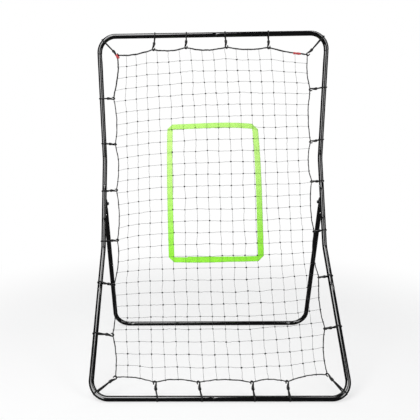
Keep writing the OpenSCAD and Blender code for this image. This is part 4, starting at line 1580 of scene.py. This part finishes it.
def knot_shape(radius: float = 0.00105, size: float = 0.00085, count: int = 14) -> Object:
    """Make one small tied knot: a thread wound in three close loops.

    Args:
        radius: Radius of the thread.
        size: Size of the loops.
        count: Points along the thread.

    Returns:
        The knot.
    """
    turn = np.arange(count) * 2 * math.pi / count
    path = np.stack([size * (np.sin(turn) + 1.3 * np.sin(2 * turn)) * 0.62,
                     size * (np.cos(turn) - 1.3 * np.cos(2 * turn)) * 0.62,
                     -size * np.sin(3 * turn) * 0.62], axis=1)
    verts, faces = [], []
    for i, point in enumerate(path):
        way = unit(path[(i + 1) % count] - path[i - 1])
        side = unit(np.cross(way, point))
        third = np.cross(way, side)
        for a in np.arange(4) * math.pi / 2:
            verts.append(point + radius * (math.cos(a) * side + math.sin(a) * third))
        for j in range(4):
            k, nxt = (j + 1) % 4, ((i + 1) % count) * 4
            faces.append([i * 4 + j, i * 4 + k, nxt + k, nxt + j])
    piece = new_piece("knot", np.array(verts), faces)
    outward(piece)
    return piece


@dataclass
class Net:
    """The knotted net, its twisted border rope and the lashings that tie one to the other."""
    surface: NetSurface
    columns: int = 17
    rows: int = 28
    string_r: float = 0.00062
    sub: int = 4
    jitter: float = 0.0014
    waver: float = 0.0007
    panels: tuple[tuple[str, float, float], ...] = (
        ("net_lower", 0.0, 10 / 24), ("net_middle", 10 / 24, 16 / 24), ("net_upper", 16 / 24, 1.0))
    rope_r: float = 0.0022
    top_girth: float = 1.35
    rope_pitch: float = 0.019
    rope_waver: float = 0.0007
    bend: float = 0.0050
    bend_run: float = 0.0075
    knot_size: float = 2.0
    string_lift: float = 0.0003
    top_from: float = 1.54
    lash_points: int = 19
    lash_per_turn: int = 9
    lash_r: float = 0.00065
    lash_pitch: float = 0.0011
    lash_clear: float = 0.0007
    random: np.random.Generator = field(default_factory=lambda: np.random.default_rng(SEED))

    def __post_init__(self) -> None:
        """Place every knot, shifted a little from its even place."""
        u, v = np.meshgrid(np.arange(self.columns + 1) / self.columns, np.arange(self.rows + 1) / self.rows)
        across, up, self.out = self.surface.axes(u, v)
        shift = self.random.normal(0.0, self.jitter, u.shape + (3,))
        shift[..., 2] *= 0.5
        shift *= (16 * u * (1 - u) * v * (1 - v)).clip(0, 1)[..., None] ** 0.3
        self.knots = (self.surface.at(u, v) + shift[..., :1] * across + shift[..., 1:2] * up
                      + shift[..., 2:] * self.out)

    def line(self, points: np.ndarray, out: np.ndarray, lift: float) -> np.ndarray:
        """Return a slightly wavering string through knots.

        Args:
            points: The knots that it runs through.
            out: Direction out of the back at each knot.
            lift: How far it lies behind the knots' middle.

        Returns:
            Its points.
        """
        line = smooth_curve(list(points + lift * out), self.sub)
        waver = self.random.normal(0.0, self.waver, line.shape)
        waver[::self.sub] = 0.0
        return line + waver

    def band(self, low: float, high: float) -> tuple[int, int]:
        """Return the first row of knots between two heights, 0 to 1, and the first row past them."""
        past = math.floor(high * self.rows - WELD) + 1 if high < 1 else self.rows
        return math.ceil(low * self.rows - WELD), past

    def strings(self, first: int, past: int) -> list[np.ndarray]:
        """Return the strings of a band of the net: those across it, then those up it.

        Args:
            first: First row of the band.
            past: Row after its last.

        Returns:
            The points of each string.
        """
        across = [self.line(self.knots[j], self.out[j], self.string_lift)
                  for j in range(max(first, 1), past)]
        rows = slice(first, past + 1)
        return across + [self.line(self.knots[rows, i], self.out[rows, i], -self.string_lift)
                         for i in range(1, self.columns)]

    def build(self) -> None:
        """Make the strings and knots of each panel, the rope and its lashings."""
        knot = knot_shape()
        maker = string_maker()
        for node, low, high in self.panels:
            first, past = self.band(low, high)
            loose = self.knots[max(first, 1):past, 1:-1].reshape(-1, 3)
            base = wires(f"{node}_lines", self.strings(first, past), loose)
            piece = maker.run(f"{node}_strings", base, String_Radius=self.string_r, Knot=knot,
                              Knot_Size=self.knot_size)
            finish_piece(piece, "front_frame", Slot.TWINE, node)
        bpy.data.objects.remove(knot)
        on_top = np.repeat(self.surface.held[:, 1] > self.top_from, self.surface.steps)
        base = wires("rope_line", [self.rope_line()], girth=np.where(on_top, self.top_girth, 1.0))
        rope = rope_maker().run("border_rope", base, Radius=self.rope_r, Pitch=self.rope_pitch)
        finish_piece(rope, "front_frame", Slot.ROPE, "border_cord")
        finish_piece(self.lashings(), "front_frame", Slot.TWINE)

    def rope_line(self) -> np.ndarray:
        """Return the border's line: it snakes from front to back through each hook.

        Returns:
            Its points.
        """
        surface = self.surface
        flat, n = surface.border, surface.steps
        line = surface.folded(flat[:, 0], flat[:, 1])
        line = 0.25 * np.roll(line, 1, axis=0) + 0.5 * line + 0.25 * np.roll(line, -1, axis=0)
        t = np.arange(len(flat)) % n / n
        span = np.repeat(np.linalg.norm(np.roll(surface.held, -1, axis=0) - surface.held, axis=1), n)
        after, before = t * span / self.bend_run, (1 - t) * span / self.bend_run
        depth = self.bend * (before * np.exp(-before) - after * np.exp(-after))
        section = np.searchsorted(surface.bends[1:-1], flat[:, 1], side="right")
        backs = np.array([surface.layout.back(k) for k in range(3)])[section]
        sway = self.random.normal(0.0, self.rope_waver, line.shape)
        sway = (sway + np.roll(sway, 1, axis=0) + np.roll(sway, -1, axis=0)) / 2
        near = np.minimum(after, before)[:, None].clip(0, 1)
        return line + depth[:, None] * backs + sway * near

    def lashings(self) -> Object:
        """Make the turns of twine that tie each string's end round the rope.

        Returns:
            All of them as one object.
        """
        parts = []
        ends = [(j, i) for i in (0, self.columns) for j in range(1, self.rows)]
        ends += [(j, i) for j in (0, self.rows) for i in range(1, self.columns)]
        turn = np.arange(self.lash_points)[:, None] * 2 * math.pi / self.lash_per_turn
        size = np.full(self.lash_points, self.lash_r)
        for j, i in ends:
            beside = (j, i + 1) if j in (0, self.rows) else (j + 1, i)
            way = unit(self.knots[beside] - self.knots[j, i])
            side = unit(np.cross(way, self.out[j, i]))
            coil = self.knots[j, i] + way * self.lash_pitch * (turn / math.pi - 2) \
                + (self.rope_r + self.lash_clear) * (np.cos(turn) * side + np.sin(turn) * self.out[j, i])
            parts.append(swept("lashing", coil, size, size, way, 5))
        return joined("net_lashings", parts)


@dataclass(frozen=True)
class Strip:
    """One strip of the ribbon, from place u, v of its inner edge at one end to that at the other."""
    name: str
    start: Pair
    end: Pair
    outward_way: Pair
    bow: tuple[Pair, ...]
    lift: float
    girth: float = 1.0
    mitre_start: bool = True
    mitre_end: bool = True
    # Share of the painted highlight that lightens this strip towards the top.
    pale: float = 1.0


@dataclass
class StrikeZone:
    """The ribbon rectangle sewn to the front of the net, mitred at its corners and lapped below."""
    net: Net
    width: float = 0.0245
    thick: float = 0.0007
    left: float = 5 / 17
    right: float = 12 / 17
    bottom: float = 10 / 28
    top: float = 21 / 28
    step: float = 0.0013
    across: int = 10
    mitre: float = 0.0235
    press: float = 0.0005
    show_run: float = 0.0016
    crown: float = 0.0004
    ripple: float = 0.0007
    ripple_run: float = 0.052
    stitch_lift: float = 0.0002
    edge_shift: float = 0.02
    clear: float = 0.0005
    layer_gap: float = 0.0001
    mean_width: float = 0.972
    stitch_shade: float = 0.82
    left_bow: tuple[Pair, ...] = (
        (0.03, 2.4), (0.18, 1.9), (0.475, -1.4), (0.70, 0.5), (0.97, 5.2))
    right_bow: tuple[Pair, ...] = (
        (0.05, 0.6), (0.10, 0.9), (0.33, 4.2), (0.475, 4.2), (0.70, 3.8), (0.97, -2.8))
    top_bow: tuple[Pair, ...] = ((0.08, 0.0), (0.44, -1.2), (0.69, -1.7), (0.94, -8.9))
    lap_bow: tuple[Pair, ...] = (
        (0.0, -1.5), (0.3, -5.0), (0.5, -6.5), (0.75, -6.2), (1.0, -4.2))
    under_bow: tuple[Pair, ...] = ((0.0, -2.5), (0.3, -3.4), (0.6, -4.2), (1.0, -4.2))
    lap: Pair = (0.20, 0.62)
    low_ends: Pair = (2.4, 0.5)
    top_ends: Pair = (5.2, -2.8)
    side_feet: Pair = (-1.5, -4.2)
    right_head: float = -10.0
    seams: list[np.ndarray] = field(default_factory=list)

    def share(self, across: float, up: float) -> Pair:
        """Return lengths across and up the net in metres as shares of its width and height."""
        return across / (self.net.surface.width * self.mean_width), up / self.net.surface.height

    def strip(self, plan: Strip) -> Object:
        """Make one strip, mitred where it meets the next, pressed where strings pass behind it.

        Args:
            plan: Where the strip runs and how its ends are cut.

        Returns:
            The strip.
        """
        surface = self.net.surface
        wide_u, wide_v = self.share(self.width * plan.girth, self.width * plan.girth)
        start, end = plan.start, plan.end
        length = float(np.linalg.norm(surface.at(np.array([start[0]]), np.array([start[1]]))
                                      - surface.at(np.array([end[0]]), np.array([end[1]]))))
        t = np.linspace(0, 1, int(length / self.step) + 1)
        gap = np.minimum(t if plan.mitre_start else 1.0, 1 - t if plan.mitre_end else 1.0) * length
        reach = 1 - np.clip(self.mitre - gap, 0, None) / self.width
        at, by = np.array(plan.bow).T
        bow = np.polyval(np.polyfit(at, by * MM, 3), t)[:, None]
        share = np.linspace(0, 1, self.across + 1)
        along_v = abs(end[1] - start[1]) > abs(end[0] - start[0])
        bow_u, bow_v = self.share(*((bow, 0.0) if along_v else (0.0, bow)))
        u = start[0] + np.outer(t, np.ones_like(share)) * (end[0] - start[0]) \
            + np.outer(reach, share) * plan.outward_way[0] * wide_u + bow_u
        v = start[1] + np.outer(t, np.ones_like(share)) * (end[1] - start[1]) \
            + np.outer(reach, share) * plan.outward_way[1] * wide_v + bow_v
        middle = surface.at(u, v)
        _, _, out = surface.axes(u, v)
        lines, pitch = (v * self.net.rows, surface.height / self.net.rows) if along_v else (
            u * self.net.columns, surface.width / self.net.columns)
        near = np.abs(lines - np.round(lines)) * pitch
        show = np.exp(-(near / self.show_run) ** 2)
        crown = self.crown * np.sin(np.pi * share)[None, :]
        ripple = self.ripple * np.sin(np.outer(t * length / self.ripple_run * 2 * math.pi,
                                               np.ones_like(share)) + 1.0)
        front = plan.lift + self.thick + self.press * show + crown + ripple * (1 - show)
        back = plan.lift + crown * 0.5 + ripple * (1 - show)
        front_face = middle - front[..., None] * out
        back_face = middle - back[..., None] * out
        side = self.edge_shift
        lay = [np.stack(np.broadcast_arrays(share + side * layer, (t * length)[:, None]), axis=-1)
               for layer in (0, 1)]
        piece = slab(plan.name, np.stack([front_face, back_face]), np.stack(lay))
        # show marks the strings behind the tape, where it is pressed forward and gets painted shade; pale
        # scales its painted highlight.
        for key, value in (("show", show), ("pale", np.full_like(show, plan.pale))):
            mark = piece.data.attributes.new(key, "FLOAT", "POINT")
            mark.data.foreach_set("value", np.tile(value.ravel(), 2).astype(np.float32))
        self.seams += [(front_face - self.stitch_lift * out)[2:-2, j] for j in (1, -2)]
        return piece

    def plans(self) -> list[Strip]:
        """Return the sides, the top, and the two lapped halves of the bottom.

        Returns:
            The plan of each strip.
        """
        wide_u, wide_v = self.share(self.width, self.width)
        move = lambda u, v, x, y: tuple(np.add((u, v), self.share(x * MM, y * MM)))
        under = self.net.string_r + self.clear
        over = under + self.thick + self.layer_gap
        left, right, bottom, top = self.left, self.right, self.bottom, self.top
        low = (move(left - wide_u, bottom, self.low_ends[0], 0),
               move(right + wide_u, bottom, self.low_ends[1], 0))
        on_low = lambda k: tuple(np.add(low[0], k * np.subtract(low[1], low[0])))
        return [
            Strip("side_left", move(left, bottom - wide_v, 0, self.side_feet[0]), (left, top + wide_v),
                  (-1, 0), self.left_bow, under),
            Strip("side_right", move(right, bottom - wide_v, 0, self.side_feet[1]),
                  move(right, top + wide_v, 0, self.right_head), (1, 0), self.right_bow, under,
                  girth=1.08, pale=0.9),
            Strip("end_top", move(left - wide_u, top, self.top_ends[0], 0),
                  move(right + wide_u, top, self.top_ends[1], 0), (0, 1), self.top_bow, over, pale=0.72),
            Strip("bottom_under", on_low(self.lap[0]), low[1], (0, -1), self.under_bow, over,
                  mitre_start=False),
            Strip("bottom_over", low[0], on_low(self.lap[1]), (0, -1), self.lap_bow,
                  over + self.thick + self.layer_gap, mitre_end=False),
        ]

    def build(self) -> None:
        """Make the ribbon's strips and the stitches that hold them."""
        ribbon = joined("strike_zone_tape", [self.strip(plan) for plan in self.plans()])
        finish_piece(ribbon, "front_frame", Slot.RIBBON, "strike_zone_ribbon", material=ribbon_material())
        thread = tuple(c * self.stitch_shade for c in FINISHES[Slot.RIBBON].colour)
        stitch = Finish("ribbon_thread", thread, 0.55, sheen=0.2, wear=0.1, worn=(0.3, 0.6, 0.1)).make()
        seams = stitch_maker(stitch).run("ribbon_stitches", wires("seam_lines", self.seams))
        finish_piece(seams, "front_frame", Slot.RIBBON, material=stitch)


# Painted highlight: the ribbon is mixed towards a lighter green higher up, between the two heights below.
# Painted shade: it is mixed towards a darker green along the strings behind it.
PAINTED_HIGHLIGHT_GREEN = (0.60, 0.86, 0.27, 1.0)
STRING_SHADE_GREEN = (0.12, 0.34, 0.03, 1.0)
PAINTED_HIGHLIGHT_SHARE = 0.7
STRING_SHADE_SHARE = 0.75
PAINTED_HIGHLIGHT_FROM, PAINTED_HIGHLIGHT_TO = 0.52, 0.9


def ribbon_material() -> Material:
    """Return the ribbon's material: its weave, with a painted highlight that lightens it upwards and painted
    shade where the strings lie behind it.

    Returns:
        The material.
    """
    material = MATERIALS[Slot.RIBBON]
    t = Tree(material.node_tree)
    shader = material.node_tree.nodes["Principled BSDF"]
    woven = shader.inputs["Base Color"].links[0].from_socket
    show = t.add("ShaderNodeAttribute", attribute_name="show").outputs["Fac"]
    place = t.add("ShaderNodeSeparateXYZ", {0: t.object_place()})
    # Painted highlight: lighter green mixed in with height, scaled by each strip's pale share.
    rise = t.add("ShaderNodeMapRange", {"Value": place.outputs["Z"], "From Min": PAINTED_HIGHLIGHT_FROM,
                                        "From Max": PAINTED_HIGHLIGHT_TO})
    mark = t.add("ShaderNodeAttribute", attribute_name="pale").outputs["Fac"]
    pale = t.times(mark, PAINTED_HIGHLIGHT_SHARE)
    paler = t.mix(t.times(rise.outputs[0], pale), woven, PAINTED_HIGHLIGHT_GREEN)
    # Painted shade: darker green along the strings behind the tape.
    shaded = t.mix(t.times(show, STRING_SHADE_SHARE), paler, STRING_SHADE_GREEN)
    t.link(shaded, shader.inputs["Base Color"])
    return material


# ------------------------------------------------------------------ elastic loops and hooks


@dataclass(frozen=True)
class Pull:
    """One loop's frame: its tube point, the way to its hook point, and the tube's own directions."""
    origin: np.ndarray
    ahead: np.ndarray
    back: np.ndarray
    inward: np.ndarray
    reach: float

    @property
    def side(self) -> np.ndarray:
        """Return the third direction of the frame, in the net's plane."""
        return np.cross(self.ahead, self.back)

    def place(self, x: float, y: float, z: float) -> np.ndarray:
        """Return the world point of a point of the loop's frame."""
        return self.origin + x * self.ahead + y * self.back + z * self.side


@dataclass
class LoopSet:
    """The elastic loops round the tubes, with their beads and the hooks that catch the rope."""
    surface: NetSurface
    layout: Layout = LAYOUT
    bead_back: float = 0.025
    bead_r: float = 0.0064
    bead_half: float = 0.0072
    on_floor: Pair = (0.0034, 0.00056)
    on_air: Pair = (0.0029, 0.0017)
    strand_r: float = 0.0031
    wire_r: float = 0.0027
    crook_r: float = 0.0060
    seat: float = 0.0010
    bead_clear: float = 0.0012
    cord_gap: float = 0.00006
    wrap: tuple[int, int, int] = (62, 299, 12)
    strand_apart: Triple = (0.0011, 0.0018, 0.0062)
    free_short: float = 0.010
    least_free: float = 0.014
    strand_in: float = 0.012
    near_tube: float = 0.006
    join: float = 0.001
    settle: float = 0.0045
    tip_turn: float = 112.0
    tip_end: Pair = (-0.0022, 0.0003)
    root_girth: Pair = (1.9, 1.15)
    tip_girth: tuple[float, ...] = (0.95, 0.9, 0.88, 0.95)
    twists: tuple[tuple[str, float, float], ...] = (
        ("top", 26.0, 8.0), ("bottom", 30.0, 10.0), ("left", 46.0, 12.0), ("right", 46.0, 12.0))
    random: np.random.Generator = field(default_factory=lambda: np.random.default_rng(SEED + 1))

    def pull(self, k: int, tube: Pair, hook: Pair, normal: float) -> Pull:
        """Return the frame of one loop.

        Args:
            k: Section of the frame.
            tube: Point x, s of the tube's axis on the section.
            hook: Point x, s of the border on the section.
            normal: Direction in degrees from the tube straight to the net.

        Returns:
            The frame.
        """
        lay = self.layout
        way = np.subtract(hook, tube)
        reach = float(np.linalg.norm(way))
        across, up = np.array([1.0, 0, 0]), lay.ahead(k)
        a = math.radians(normal)
        return Pull(lay.on(k, tube[1], tube[0]), (way[0] * across + way[1] * up) / reach, lay.back(k),
                    math.cos(a) * across + math.sin(a) * up, reach)

    def sides(self) -> dict[str, list[Pull]]:
        """Return the loops of each side, the corner loops with the top and the bottom.

        Returns:
            The frames of the loops, by side.
        """
        lay = self.layout
        starts = [0.0, lay.lengths[0], lay.lengths[0] + lay.lengths[1]]
        section = lambda s: 0 if s < starts[1] else 1 if s < starts[2] else 2
        top = lay.lengths[2]
        cut = lay.corner_r * (1 - math.sqrt(0.5))
        found: dict[str, list[Pull]] = {"top": [], "left": [], "right": [], "bottom": []}
        for h in TOP_HOOKS:
            found["top"].append(self.pull(2, (h.tube * MM, top), (h.x * MM, h.s * MM - starts[2]), -90))
        for h in BOTTOM_HOOKS:
            found["bottom"].append(self.pull(0, (h.tube * MM, 0.0), (h.x * MM, h.s * MM), 90))
        for name, hooks, sign, normal in (("left", LEFT_HOOKS, -1, 0), ("right", RIGHT_HOOKS, 1, 180)):
            for h in hooks:
                k = section(h.tube * MM)
                found[name].append(self.pull(k, (sign * lay.half_w, h.tube * MM - starts[k]),
                                             (h.x * MM, h.s * MM - starts[k]), normal))
        for key, sign, up, normal in (("tl", -1, True, -45), ("tr", 1, True, -135),
                                      ("bl", -1, False, 45), ("br", 1, False, 135)):
            x, s = CORNERS[key]
            k = 2 if up else 0
            tube = (sign * (lay.half_w - cut), top - cut if up else cut)
            found["top" if up else "bottom"].append(
                self.pull(k, tube, (x * MM, s * MM - starts[k]), normal))
        return found

    def bead_at(self, pull: Pull) -> float:
        """Return how far from the tube's axis the bead sits, clear of the tube on short loops."""
        return max(pull.reach - self.bead_back, self.layout.tube_r + self.bead_half + self.bead_clear)

    def elastic(self, pull: Pull, half: float, thick_half: float) -> Object:
        """Make one loop: round the outside of the tube, then two strands in to the bead.

        Args:
            pull: The loop's frame.
            half: Half the width of the cord where it lies on the tube.
            thick_half: Half its thickness there.

        Returns:
            The loop.
        """
        r = self.layout.tube_r + thick_half + self.cord_gap
        bead_x = self.bead_at(pull)
        lean = pull.side * (pull.inward @ pull.side) + pull.ahead * (pull.inward @ pull.ahead)
        axis = np.cross(lean, pull.back)
        free = max(bead_x - self.free_short, self.least_free)
        stations = (bead_x - self.join, bead_x - self.bead_half - self.join,
                    0.55 * free + 0.45 * self.strand_in)
        strand = list(zip(stations, self.strand_apart))
        turn = np.radians(np.arange(*self.wrap))
        path = [pull.place(x, y, 0) for x, y in strand]
        path += [pull.origin + r * (math.cos(a) * lean + math.sin(a) * pull.back) for a in turn]
        path += [pull.place(x, -y, 0) for x, y in reversed(strand)]
        line = smooth_curve(path, 4)
        away = np.linalg.norm(np.cross(line - pull.origin, axis[None, :]), axis=1)
        on_tube = np.clip((r + self.settle - away) / self.settle, 0, 1)
        on_tube = on_tube * on_tube * (3 - 2 * on_tube)
        wide = self.strand_r + (half - self.strand_r) * on_tube
        thick = self.strand_r + (thick_half - self.strand_r) * on_tube
        shift = (thick - thick_half)[:, None]
        lifted = shift * unit(line - pull.origin) * 0.6
        line = line + np.where(away[:, None] < r + self.near_tube, lifted, 0.0)
        return swept("strand", line, wide, thick, axis, 14)

    def bead(self, pull: Pull) -> Object:
        """Make the barrel bead that closes a loop and carries the hook.

        Args:
            pull: The loop's frame.

        Returns:
            The bead.
        """
        centre = self.bead_at(pull)
        axis = Route(np.array([pull.place(centre, 0, 0), pull.place(centre + 0.01, 0, 0)]), pull.back)
        h, r = self.bead_half, self.bead_r
        barrel = [(-h, 0.0), (-h, 0.0030), (-h + 0.0006, 0.0039), (-0.0038, r - 0.0003), (-0.0032, r),
                  (-0.0012, r), (-0.0009, r - 0.0006), (0.0009, r - 0.0006), (0.0012, r), (0.0032, r),
                  (0.0038, r - 0.0003), (h - 0.0006, 0.0034), (h, 0.0026), (h, 0.0)]
        return turned_along("bead", axis, barrel, 28, closed=False)

    def hook(self, pull: Pull, twist: float) -> Object:
        """Make one moulded hook: a stout leaning shank and a crook with a rounded tip.

        Args:
            pull: The loop's frame.
            twist: Turn of the crook out of the net's plane, in degrees.

        Returns:
            The hook.
        """
        first = self.bead_at(pull) + self.bead_half - self.join
        centre = pull.reach - self.seat
        lean = math.asin(self.crook_r / (centre - first))
        cos, sin = math.cos(math.radians(twist)), math.sin(math.radians(twist))

        def at(x: float, w: float) -> np.ndarray:
            """Return the world point of a point in the hook's own plane."""
            return pull.place(x, -w * sin, w * cos)

        path = [at(first, 0.0)]
        run = (centre - first) * math.cos(lean)
        for s in np.linspace(0.15, 0.9, 6) * run:
            path.append(at(first + s * math.cos(lean), -s * math.sin(lean)))
        tip = math.radians(self.tip_turn)
        for a in np.radians(np.linspace(-90 - math.degrees(lean), self.tip_turn, 22)):
            path.append(at(centre + self.crook_r * math.cos(a), self.crook_r * math.sin(a)))
        path.append(at(centre + self.crook_r * math.cos(tip) + self.tip_end[0],
                       self.crook_r * math.sin(tip) + self.tip_end[1]))
        wire = np.full(len(path), self.wire_r)
        wire[:7] *= np.linspace(*self.root_girth, 7)
        wire[-4:] *= self.tip_girth
        normal = np.cross(at(1, 0) - at(0, 0), at(0, 1) - at(0, 0))
        return swept("crook", np.array(path), wire, wire * 1.05, normal, 14)

    def build(self) -> None:
        """Make the loops, beads and hooks of each side."""
        turns = {side: self.random.uniform(mean - spread, mean + spread, 8)
                 for side, mean, spread in self.twists}
        for side, pulls in self.sides().items():
            size = self.on_floor if side == "bottom" else self.on_air
            strands = joined(f"{side}_elastics", [self.elastic(pull, *size) for pull in pulls])
            finish_piece(strands, "front_frame", Slot.ELASTIC, f"{side}_elastic_loops")
            beads = joined(f"{side}_beads", [self.bead(pull) for pull in pulls])
            finish_piece(beads, "front_frame", Slot.HOOK)
            hooks = joined(f"{side}_moulded_hooks",
                           [self.hook(pull, turn) for pull, turn in zip(pulls, turns[side])])
            finish_piece(hooks, "front_frame", Slot.HOOK, f"{side}_hooks")


@dataclass
class Tags:
    """The two small red marker tapes folded over the border rope."""
    surface: NetSurface
    thick: float = 0.0005
    fold: float = 0.0034
    rows: int = 9
    fray: float = 0.12
    crease: float = 0.0004
    section: tuple[Pair, ...] = (
        (0.5, 0.3), (0.25, 0.9), (0, 1.05), (-0.25, 0.9), (-0.5, 0.3))

    def tape(self, centre: Pair, along: Pair, length: float, width: float) -> Object:
        """Make one folded tape lying over the rope.

        Args:
            centre: Flat point x, s in metres of its middle.
            along: Direction of its length in the flat.
            length: Its length.
            width: Its width.

        Returns:
            The tape.
        """
        along = unit(np.array(along))
        cross = np.array([-along[1], along[0]])
        s = np.linspace(-0.5, 0.5, self.rows)[:, None]
        wide, high = np.array(self.section).T * np.array([[width], [self.fold]])
        across = wide * (1 + self.fray * np.sin(9 * s))
        flat = np.array(centre) + (along * s * length)[:, None, :] + cross * across[..., None]
        middle = self.surface.folded(flat[..., 0], flat[..., 1])
        crease = high + self.crease * np.sin(20 * s + wide * 400)
        layers = [middle - self.surface.layout.back(2) * (crease + extra)[..., None]
                  for extra in (self.thick, 0.0)]
        lay = np.stack(np.broadcast_arrays(np.linspace(0, 1, len(wide)), s * length), axis=-1)
        return slab("tape", np.stack(layers), np.stack([lay, lay]))

    def build(self) -> None:
        """Make both tapes."""
        parts = [self.tape((-0.4335, 1.572), (0.50, -0.87), 0.021, 0.013),
                 self.tape((0.383, 1.5735), (1.0, -0.10), 0.034, 0.0095)]
        finish_piece(joined("marker_tapes", parts), "front_frame", Slot.TAG, "red_tags")


# ------------------------------------------------------------------ studio


WHITE = (1.0, 1.0, 1.0, 1.0)


@dataclass(frozen=True)
class Box:
    """A soft box: where it stands, the point that it faces, its width and height, and its watts."""
    name: str
    place: Triple
    aim: Triple
    size: Pair
    power: float


@dataclass
class Studio:
    """Floor, backdrop, lamps and camera."""
    eye: Triple = (-0.1245, -2.2143, 1.0619)
    pitch: float = 9.203
    yaw: float = 1.27
    roll: float = -0.712
    focal_px: float = 500.0
    centre_px: float = 175.51
    image_px: float = 420.0
    floor_half: float = 14.0
    floor_glow: float = 0.635
    floor_matte: float = 0.34
    floor_dull: float = 0.55
    floor_mirrored: float = 0.04
    shadow_end: Pair = (0.9, 2.2)
    boxes: tuple[Box, ...] = (
        Box("left_box", (-1.75, -2.4, 1.5), (0, 0.1, 0.8), (1.4, 2.6), 48),
        Box("right_box", (2.2, -2.25, 1.5), (0, 0.1, 0.8), (0.9, 2.5), 26),
        Box("top_box", (-0.8, -1.1, 3.2), (-0.1, 0.0, 0.8), (1.9, 1.7), 48),
        Box("right_top_box", (1.5, -0.6, 3.2), (0.1, 0.0, 0.8), (0.6, 1.2), 9),
        Box("back_box", (0.4, 2.6, 2.2), (0, 0, 0.7), (2.4, 0.8), 14))

    def camera(self) -> None:
        """Make the camera and set it."""
        data = bpy.data.cameras.new("view")
        data.sensor_width = 36.0
        data.sensor_fit = "HORIZONTAL"
        data.lens = self.focal_px / self.image_px * data.sensor_width
        data.shift_x = (self.image_px / 2 - self.centre_px) / self.image_px
        data.clip_start, data.clip_end = 0.05, 60.0
        camera = placed("view", data)
        turn = lambda axis, angle: Matrix.Rotation(math.radians(angle), 3, axis)
        seen = turn("Z", self.roll) @ turn("X", self.pitch) @ turn("Y", self.yaw) @ Matrix(
            ((1, 0, 0), (0, 0, -1), (0, 1, 0)))
        axes = Matrix((seen[0], -seen[1], -seen[2])).transposed()
        camera.matrix_world = Matrix.Translation(self.eye) @ axes.to_4x4()
        bpy.context.scene.camera = camera

    def floor(self) -> None:
        """Make the floor: white to the camera, with a pale shadow near the object."""
        mesh = bpy.data.meshes.new("floor")
        size = self.floor_half
        mesh.from_pydata([(-size, -size, 0), (size, -size, 0), (size, size, 0), (-size, size, 0)], [],
                         [(0, 1, 2, 3)])
        floor = placed("floor", mesh)
        material = bpy.data.materials.new("white_floor")
        material.use_nodes = True
        material.node_tree.nodes.clear()
        t = Tree(material.node_tree)
        matte, dull = (t.add("ShaderNodeBsdfDiffuse", {"Color": (grey, grey, grey, 1.0)})
                       for grey in (self.floor_matte, self.floor_dull))
        glow, far, dark = (t.add("ShaderNodeEmission", {"Color": WHITE, "Strength": strength})
                           for strength in (self.floor_glow, 1.0, self.floor_mirrored))
        rays = t.add("ShaderNodeLightPath")
        other = t.add("ShaderNodeMixShader", {0: rays.outputs["Is Glossy Ray"], 1: dull.outputs[0],
                                              2: dark.outputs[0]})
        both = t.add("ShaderNodeAddShader", {0: matte.outputs[0], 1: glow.outputs[0]})
        away = t.add("ShaderNodeVectorMath", {0: t.object_place()}, operation="LENGTH")
        fade = t.add("ShaderNodeMapRange", {"Value": away.outputs["Value"], "From Min": self.shadow_end[0],
                                            "From Max": self.shadow_end[1]},
                     interpolation_type="SMOOTHSTEP")
        seen = t.add("ShaderNodeMixShader", {0: fade.outputs[0], 1: both.outputs[0], 2: far.outputs[0]})
        pick = t.add("ShaderNodeMixShader", {0: rays.outputs["Is Camera Ray"], 1: other.outputs[0],
                                             2: seen.outputs[0]})
        out = t.add("ShaderNodeOutputMaterial")
        t.link(pick.outputs[0], out.inputs["Surface"])
        mesh.materials.append(material)
        floor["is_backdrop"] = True

    def world(self) -> None:
        """Make the world: white to the camera, dim in reflections, soft light elsewhere."""
        world = bpy.data.worlds.new("studio")
        bpy.context.scene.world = world
        world.use_nodes = True
        world.node_tree.nodes.clear()
        t = Tree(world.node_tree)
        path = t.add("ShaderNodeLightPath")
        soft, dim, white = (
            t.add("ShaderNodeBackground", {"Color": colour, "Strength": strength}).outputs[0]
            for colour, strength in (((0.95, 0.97, 1.0, 1.0), 0.22), ((0.9, 0.95, 1.0, 1.0), 0.02),
                                     (WHITE, 1.0)))
        lit = t.add("ShaderNodeMixShader", {0: path.outputs["Is Glossy Ray"], 1: soft, 2: dim})
        pick = t.add("ShaderNodeMixShader", {0: path.outputs["Is Camera Ray"], 1: lit.outputs[0], 2: white})
        out = t.add("ShaderNodeOutputWorld")
        t.link(pick.outputs[0], out.inputs["Surface"])

    @staticmethod
    def lamp(box: Box) -> None:
        """Make one soft box.

        Args:
            box: Its place, aim, size and power.
        """
        data = bpy.data.lights.new(box.name, "AREA")
        data.shape, data.energy = "RECTANGLE", box.power
        data.size, data.size_y = box.size
        lamp = placed(box.name, data)
        lamp.location = box.place
        way = Vector(box.aim) - Vector(box.place)
        lamp.rotation_euler = way.to_track_quat("-Z", "Y").to_euler()

    def build(self) -> None:
        """Set the whole studio up."""
        bpy.context.scene.view_settings.view_transform = "Standard"
        self.camera()
        self.floor()
        self.world()
        for box in self.boxes:
            self.lamp(box)


# ------------------------------------------------------------------ main


def main() -> None:
    """Build every sub-assembly in order."""
    logging.basicConfig(level=logging.INFO, format="%(name)s: %(message)s")
    Studio().build()
    TubeFrame().build()
    Hinges().build()
    surface = NetSurface()
    net = Net(surface)
    net.build()
    StrikeZone(net).build()
    LoopSet(surface).build()
    Tags(surface).build()
    plain = lambda box: [[float(v) for v in corner] for corner in box]
    {"cad": plain(CAD_BOX), "visual": plain(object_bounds())}


if __name__ == "__main__":
    main()
